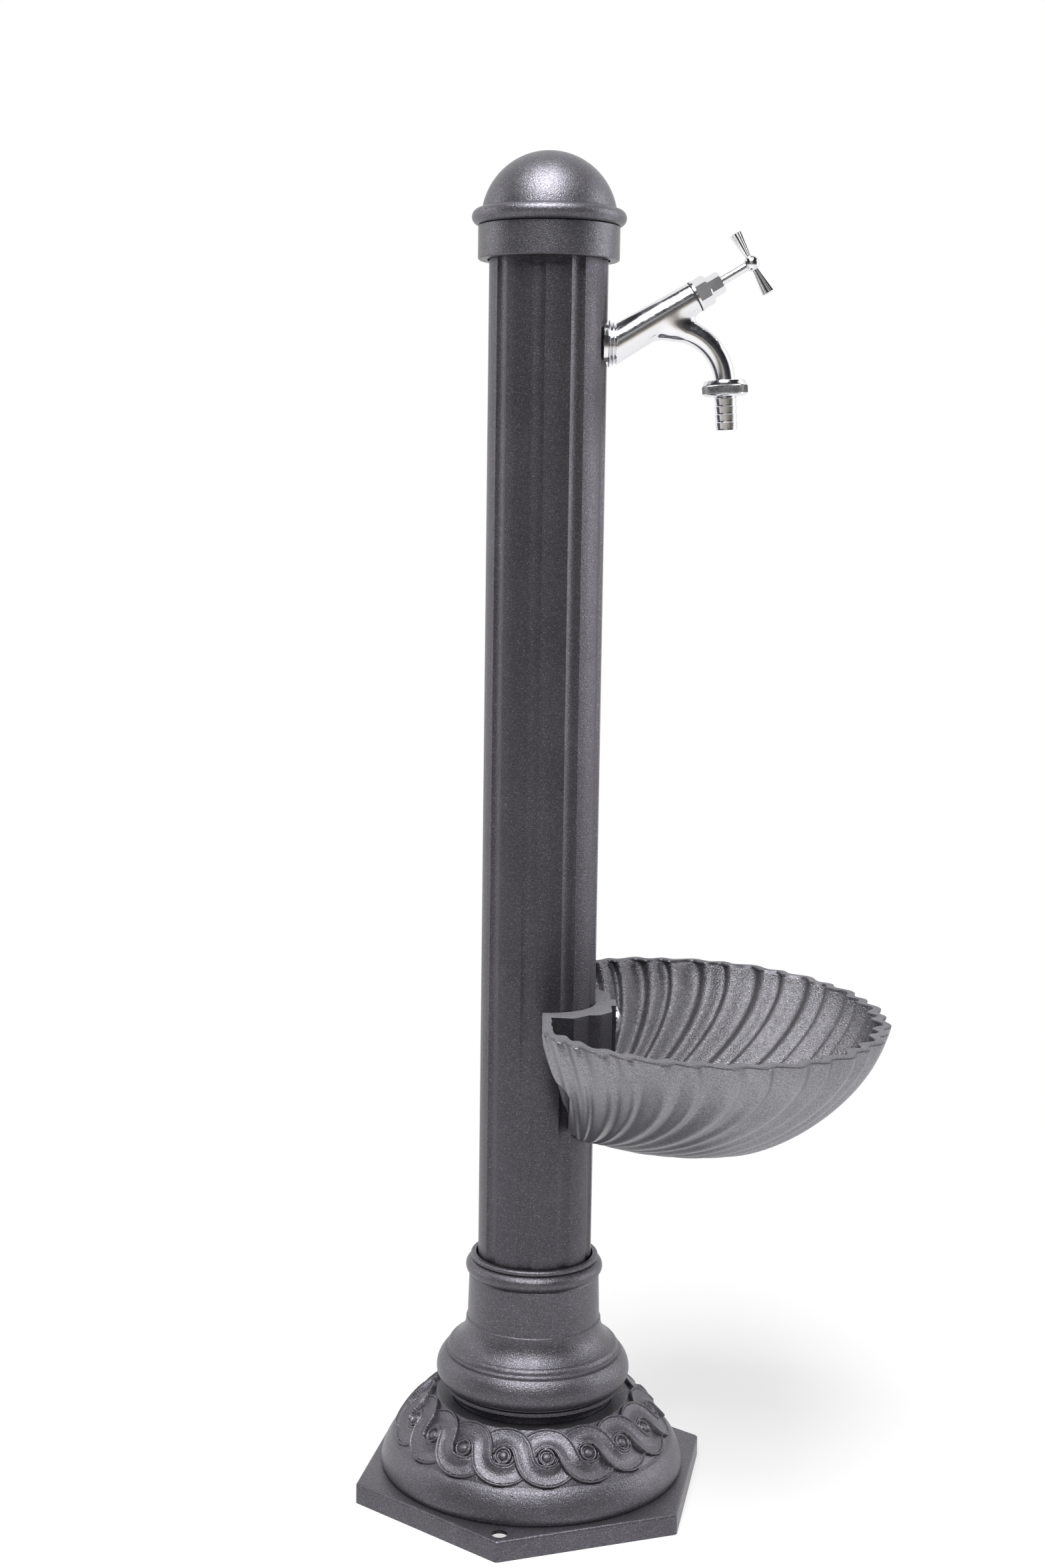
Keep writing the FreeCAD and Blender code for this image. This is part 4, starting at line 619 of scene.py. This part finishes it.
def make_basin():
    """Fluted shell with a thick saddle against the column, its back cut to the column and relieved."""
    angles = np.radians(np.arange(-180, 180, 0.5))
    random = np.random.default_rng(7)
    wander = np.convolve(random.normal(0, 1, len(angles) + 8), np.ones(5) / 5, "valid")
    chips = wander[:len(angles)] * CHIP
    levels = 0.035 + 0.965 * np.linspace(0, 1, 40) ** 1.1

    def outside(level):
        """Swell of the outer side at a level."""
        return waves(angles, level, *OUTER_FLUTES) * (1 - 0.35 * level)

    def inside(level):
        """Swell of the inner side at a level."""
        return waves(angles, level, *INNER_FLUTES) * (1 + 0.3 * math.sin(math.pi * min(level, 1.0)))

    edge = rim_rows(rim_reach(angles, 0) + outside(0) + chips, [(-0.9, 0), (-0.35, -0.25), (0, -0.9)])
    mouth = rim_rows(rim_reach(angles, WALL) + inside(0) + chips[::-1],
                     [(1.6, 12.0), (1.0, 0.3), (0.35, -0.35), (0, -1.1)])
    outer = shell_solid("basin_outer", angles, edge, shell_side(0, levels, angles, outside),
                        [BASIN_COAT, RIM_COAT])
    # The hollow's faces carry the darker inside coat, painted shade in the bowl.
    hollow = shell_solid("basin_hollow", angles, mouth, shell_side(WALL, levels, angles, inside),
                         [BASIN_INSIDE_SHADED, BASIN_INSIDE_SHADED])
    contour = SADDLE_SIDE + [(x, -y) for x, y in reversed(SADDLE_SIDE)]
    # Faces cut by the saddle and by the room for the column take the darker saddle coat, painted shade
    # against the column.
    saddle = rough("saddle", *prism(contour, 200, 400), [SADDLE_SHADE_COAT])
    column = rough("column_room", *prism(circle(40.35, count=180), 150, 450), [SADDLE_SHADE_COAT])
    relief = rough("relief", *prism(BACK_CUT, -300, 300, "Y"), [BASIN_COAT])
    carve(hollow, saddle)
    basin = carve(outer, hollow, column, relief)
    mesh = basin.data
    mesh.polygons.foreach_set("use_smooth", np.ones(len(mesh.polygons), bool))
    mesh.set_sharp_from_angle(angle=math.radians(38))
    basin.name = "shell_basin"
    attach(basin, "stand")
    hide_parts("basin")


make_basin()


# The tap's body

TAP_LEVEL = 802.4
BARREL_FOOT = Vector((45.6, 0.0, TAP_LEVEL))
BARREL_RISE = math.radians(31.0)
BARREL_LENGTH = 61.2
BARREL_RADIUS = 12.1
BARREL_TAPER = 1.5
SPOUT_CENTRE = (83.0, 776.0)
SPOUT_BEND = 36.5
SPOUT_LEAN = math.radians(3.5)
SPOUT_RADIUS = 6.95
SPOUT_SWELL = 1.4
SWELL_TURN = math.radians(111)
SPOUT_TUCK = 3.4
TUCK_START = math.radians(86)
TUCK_TURN = math.radians(30)
SPOUT_END = math.radians(122)
MOUTH_FLARE = 0.9
MOUTH_LENGTH = 4.5
SPOUT_FOOT = Vector((SPOUT_CENTRE[0] + SPOUT_BEND * math.cos(SPOUT_LEAN), 0,
                     SPOUT_CENTRE[1] + SPOUT_BEND * math.sin(SPOUT_LEAN)))


def smooth_least(first, second, width):
    """The lesser of two distance fields, blended where they are close."""
    share = np.clip(0.5 + 0.5 * (second - first) / width, 0, 1)
    return second * (1 - share) + first * share - width * share * (1 - share)


def tap_field(points):
    """Distance from points to the tap's cast body, negative inside."""
    x, y, z = points[..., 0], points[..., 1], points[..., 2]
    wave, lift = math.cos(BARREL_RISE), math.sin(BARREL_RISE)
    along = (x - BARREL_FOOT.x) * wave + (z - BARREL_FOOT.z) * lift
    aside = -(x - BARREL_FOOT.x) * lift + (z - BARREL_FOOT.z) * wave
    radius = BARREL_RADIUS - BARREL_TAPER * np.clip(along / BARREL_LENGTH, -0.5, 1)
    barrel = np.hypot(aside, y) - radius
    end = along - BARREL_LENGTH
    barrel = -smooth_least(-barrel, -end, 0.8)
    dx, dz = x - SPOUT_CENTRE[0], z - SPOUT_CENTRE[1]
    turn = np.arctan2(dz, dx)
    share = np.clip((turn - SPOUT_LEAN) / SWELL_TURN, 0, 1)
    tuck = np.clip((turn - TUCK_START) / TUCK_TURN, 0, 1)
    tube = SPOUT_RADIUS + SPOUT_SWELL * share ** 0.8 - SPOUT_TUCK * tuck * tuck * (3 - 2 * tuck)
    bend = np.hypot(np.hypot(dx, dz) - SPOUT_BEND, y) - tube
    down = Vector((math.sin(SPOUT_LEAN), 0, -math.cos(SPOUT_LEAN)))
    from_x, from_z = x - SPOUT_FOOT.x, z - SPOUT_FOOT.z
    below = from_x * down.x + from_z * down.z
    beside = from_x * -down.z + from_z * down.x
    flare = MOUTH_FLARE * np.clip((below + MOUTH_LENGTH) / MOUTH_LENGTH, 0, 1) ** 2
    straight = np.maximum(np.hypot(beside, y) - SPOUT_RADIUS - flare, below - 1.0)
    start = (turn - SPOUT_END) * SPOUT_BEND
    bend = np.where(turn < math.radians(-60), 40.0, np.maximum(bend, start))
    spout = np.where(turn < SPOUT_LEAN, straight, bend)
    body = smooth_least(barrel, spout, 8.0 - 7.0 * tuck)
    root = BARREL_FOOT.x - x
    return -smooth_least(-body, -root, 0.6)


def level_skin(field, low, high, step):
    """Points and faces of the surface where a field is zero, made cell by cell on a grid."""
    counts = [int(math.ceil((h - l) / step)) + 1 for l, h in zip(low, high)]
    axes = [l + step * np.arange(n) for l, n in zip(low, counts)]
    grid = np.stack(np.meshgrid(*axes, indexing="ij"), axis=-1)
    inside = field(grid) < 0
    cells = np.zeros([n - 1 for n in counts], int)
    for i in (0, 1):
        for j in (0, 1):
            for k in (0, 1):
                cells += inside[i:counts[0] - 1 + i, j:counts[1] - 1 + j, k:counts[2] - 1 + k]
    mixed = (cells > 0) & (cells < 8)
    number = np.full(mixed.shape, -1)
    number[mixed] = np.arange(mixed.sum())
    points = np.argwhere(mixed) * step + np.array(low) + step / 2
    for attempt in range(4):
        value = field(points)
        slope = np.stack([(field(points + move) - field(points - move)) / 0.02
                          for move in np.eye(3) * 0.01], axis=-1)
        points = points - slope * (value / np.maximum((slope ** 2).sum(-1), 0.2))[:, None]
    faces = []
    for axis in range(3):
        ahead, beside = (axis + 1) % 3, (axis + 2) % 3
        sign = np.moveaxis(inside, (axis, ahead, beside), (0, 1, 2))
        cell = np.moveaxis(number, (axis, ahead, beside), (0, 1, 2))
        first, last = sign[:-1, 1:-1, 1:-1], sign[1:, 1:-1, 1:-1]
        quad = np.stack([cell[:, :-1, :-1], cell[:, 1:, :-1], cell[:, 1:, 1:], cell[:, :-1, 1:]],
                        axis=-1)
        faces.append(quad[first & ~last])
        faces.append(quad[~first & last][:, ::-1])
    return points, np.concatenate(faces)


def make_tap_body():
    """Barrel and spout as one cast form."""
    points, faces = level_skin(tap_field, (44.4, -14, 771), (128, 14, 848), 0.55)
    body = piece("tap_casting", points, faces.tolist(), "stand", [CHROME], crease=50.0)
    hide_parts("tap_body")


def make_rosette():
    """Cover between the column and the barrel: two discs with rounded rims and grooves between."""
    disc = [(11.2, 39.0), (15.6, 37.6)] + arc((15.0, 41.4), 0.7, -90, 90, 7)
    disc += [(13.4, 42.6), (13.0, 42.9), (13.4, 43.2)] + arc((14.0, 43.9), 0.7, -90, 90, 7)
    disc += [(12.9, 44.9), (12.6, 45.2), (12.9, 45.6), (11.2, 45.6)]
    across = Matrix.Translation((0, 0, TAP_LEVEL)) @ Matrix.Rotation(math.radians(90), 4, "Y")
    item = turned("rosette", disc, "stand", CHROME, turn=across, crease=40)
    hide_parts("tap_rosette")


def make_union_nut():
    """Union nut with a fine knurl between rounded shoulders, hollow for the spout and the tail."""
    teeth, steps = 110, 6
    count = teeth * steps
    ridge = np.abs(np.linspace(0, 2 * teeth, count, endpoint=False) % 2 - 1)
    shape = [(12.95, -0.9, 0), (13.5, -1.0, 0), (13.95, -0.7, 0), (14.4, 0.3, 0), (14.75, 1.4, 0),
             (14.8, 2.0, 0), (14.5, 2.35, 0), (15.2, 2.75, 0.55), (15.3, 3.2, 0.6), (15.3, 7.2, 0.6),
             (15.2, 7.6, 0.55), (14.4, 8.0, 0), (14.4, 8.3, 0), (14.0, 9.0, 0), (13.3, 9.5, 0),
             (12.4, 9.7, 0), (8.1, 9.7, 0), (8.1, 8.45, 0), (12.1, 8.45, 0), (12.1, 6.3, 0),
             (12.95, 6.3, 0)]
    knurled = range(6, 11)
    angles = np.linspace(0, 2 * math.pi, count, endpoint=False)
    points = []
    for radius, level, depth in shape:
        out = radius - depth * (1 - ridge)
        points.append(np.stack([out * np.cos(angles), out * np.sin(angles), np.full(count, level)],
                               axis=-1))
    points = np.concatenate(points)
    turn = Matrix.Rotation(math.pi - SPOUT_LEAN, 4, "Y")
    points = points @ np.array(turn.to_3x3()).T + np.array(SPOUT_FOOT)
    faces = ring_faces(len(shape), count, closed=True)
    indices = [1 if row in knurled else 0 for row in range(len(shape)) for step in range(count)]
    item = piece("union_nut_knurled", points, faces, "nut", [CHROME, KNURL], indices, 28)
    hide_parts("union_nut")


make_tap_body()
make_rosette()
make_union_nut()


# Floor, light and camera, in metres

STAGE_REACH = 7.0
WORLD_GLOW = 0.25


def panel(name, corners, colour):
    """A plain matt sheet of the studio."""
    made, shader = material(name)
    place = node(made, "TexCoord").outputs["Object"]
    clouds = node(made, "TexNoise", {"Vector": place, "Scale": 2.0}).outputs["Fac"]
    link(made, blend(made, clouds, tuple(v * 0.97 for v in colour), colour), shader.inputs["Base Color"])
    shader.inputs["Roughness"].default_value = 0.9
    shader.inputs["Specular IOR Level"].default_value = 0.1
    mesh = bpy.data.meshes.new(name)
    mesh.from_pydata(corners, [], [(0, 1, 2, 3)])
    mesh.materials.append(made)
    item = bpy.data.objects.new(name, mesh)
    bpy.context.scene.collection.objects.link(item)
    return made, shader


def wall(name, corners):
    """A studio wall: warm and pale low down, fading to a cool dark grey above."""
    made, shader = panel(name, corners, (0.3, 0.3, 0.3))
    place = node(made, "TexCoord").outputs["Object"]
    drift = node(made, "TexNoise", {"Vector": place, "Scale": 0.5, "Detail": 0.0}).outputs["Fac"]
    height = node(made, "SeparateXYZ", {"Vector": place}).outputs["Z"]
    level = node(made, "Math", {0: height, 1: drift}, operation="ADD").outputs[0]
    lower = blend(made, ramp(made, level, 0.3, 2.0), (0.80, 0.77, 0.72), (0.16, 0.16, 0.175))
    whole = blend(made, ramp(made, level, 2.0, 4.5), lower, (0.10, 0.105, 0.12))
    link(made, whole, shader.inputs["Base Color"])


def make_stage():
    """A pale floor that fades to white away from the object, walls that darken upward, a white world."""
    corners = [(x * STAGE_REACH, y * STAGE_REACH, 0) for x, y in ((-1, -1), (1, -1), (1, 1), (-1, 1))]
    made, shader = panel("floor", corners, (0.92, 0.92, 0.92))
    place = node(made, "TexCoord").outputs["Object"]
    away = node(made, "VectorMath", {0: place}, operation="LENGTH").outputs["Value"]
    depth = node(made, "SeparateXYZ", {"Vector": place}).outputs["Y"]
    behind = ramp(made, depth, -2.2, -0.35)
    glow = node(made, "Emission", {"Color": (1, 1, 1, 1), "Strength": 1.0}).outputs[0]
    bright = node(made, "Math", {0: ramp(made, away, 0.3, 1.2, 0.68, 1.0), 1: behind},
                  operation="MULTIPLY").outputs[0]
    link(made, blend(made, behind, (0.74, 0.70, 0.64), (0.92, 0.92, 0.92)), shader.inputs["Base Color"])
    mixed = node(made, "MixShader", {0: bright, 1: shader.outputs[0], 2: glow})
    link(made, mixed.outputs[0], made.node_tree.nodes["Material Output"].inputs["Surface"])
    wall("wall_front", [(-6, -5, 0), (6, -5, 0), (6, -5, 5), (-6, -5, 5)])
    wall("wall_left", [(-5, -5, 0), (-5, 1, 0), (-5, 1, 5), (-5, -5, 5)])
    wall("wall_right", [(5, -5, 0), (5, -1.5, 0), (5, -1.5, 5), (5, -5, 5)])
    panel("ceiling", [(-6, -5, 5), (6, -5, 5), (6, 1.5, 5), (-6, 1.5, 5)], (0.06, 0.06, 0.065))
    world = bpy.data.worlds.new("studio")
    world.use_nodes = True
    bpy.context.scene.world = world
    rays = node(world, "LightPath")
    seen = node(world, "Math", {0: rays.outputs["Is Camera Ray"], 1: rays.outputs["Is Glossy Ray"]},
                operation="MAXIMUM")
    also = node(world, "Math", {0: seen.outputs[0], 1: rays.outputs["Is Transmission Ray"]},
                operation="MAXIMUM")
    background = world.node_tree.nodes["Background"]
    link(world, ramp(world, also.outputs[0], 0.0, 1.0, WORLD_GLOW, 1.0), background.inputs["Strength"])
    background.inputs["Color"].default_value = (1, 1, 1, 1)


def lamp(name, place, aim, size, power):
    """A soft lamp: its place, the point it shines at, its width and length, and its power."""
    light = bpy.data.lights.new(name, "AREA")
    light.shape = "RECTANGLE"
    light.size, light.size_y = size
    light.energy = power
    item = bpy.data.objects.new(name, light)
    bpy.context.scene.collection.objects.link(item)
    item.location = place
    item.rotation_euler = (Vector(aim) - Vector(place)).to_track_quat("-Z", "Y").to_euler()


def make_camera():
    """The photograph's camera: its place, its axes and its lens, found from the object's own forms."""
    right = Vector((0.99985739, 0.0103128, 0.01337307))
    up = Vector((-0.01463903, 0.13447201, 0.99080925))
    ahead = Vector((-0.00841971, 0.99086373, -0.1346038))
    camera = bpy.data.cameras.new("camera")
    camera.sensor_width = 36.0
    camera.lens = 50.84
    camera.clip_end = 50.0
    item = bpy.data.objects.new("camera", camera)
    bpy.context.scene.collection.objects.link(item)
    turn = Matrix((right, up, -ahead)).transposed().to_4x4()
    item.matrix_world = Matrix.Translation((0.0, -1.512328, 0.709051)) @ turn
    bpy.context.scene.camera = item


make_stage()
lamp("top", (-0.15, -1.1, 2.7), (0.0, 0.0, 0.4), (1.4, 1.8), 130)
lamp("fill", (-0.7, -3.3, 1.15), (0.0, 0.0, 0.8), (2.2, 1.3), 3)
lamp("left", (-2.4, 0.5, 1.2), (0.0, 0.0, 0.5), (0.4, 2.2), 14)
lamp("right", (2.3, 0.4, 1.2), (0.0, 0.0, 0.5), (0.4, 2.2), 24)
make_camera()

bpy.context.scene.view_settings.view_transform = "Standard"
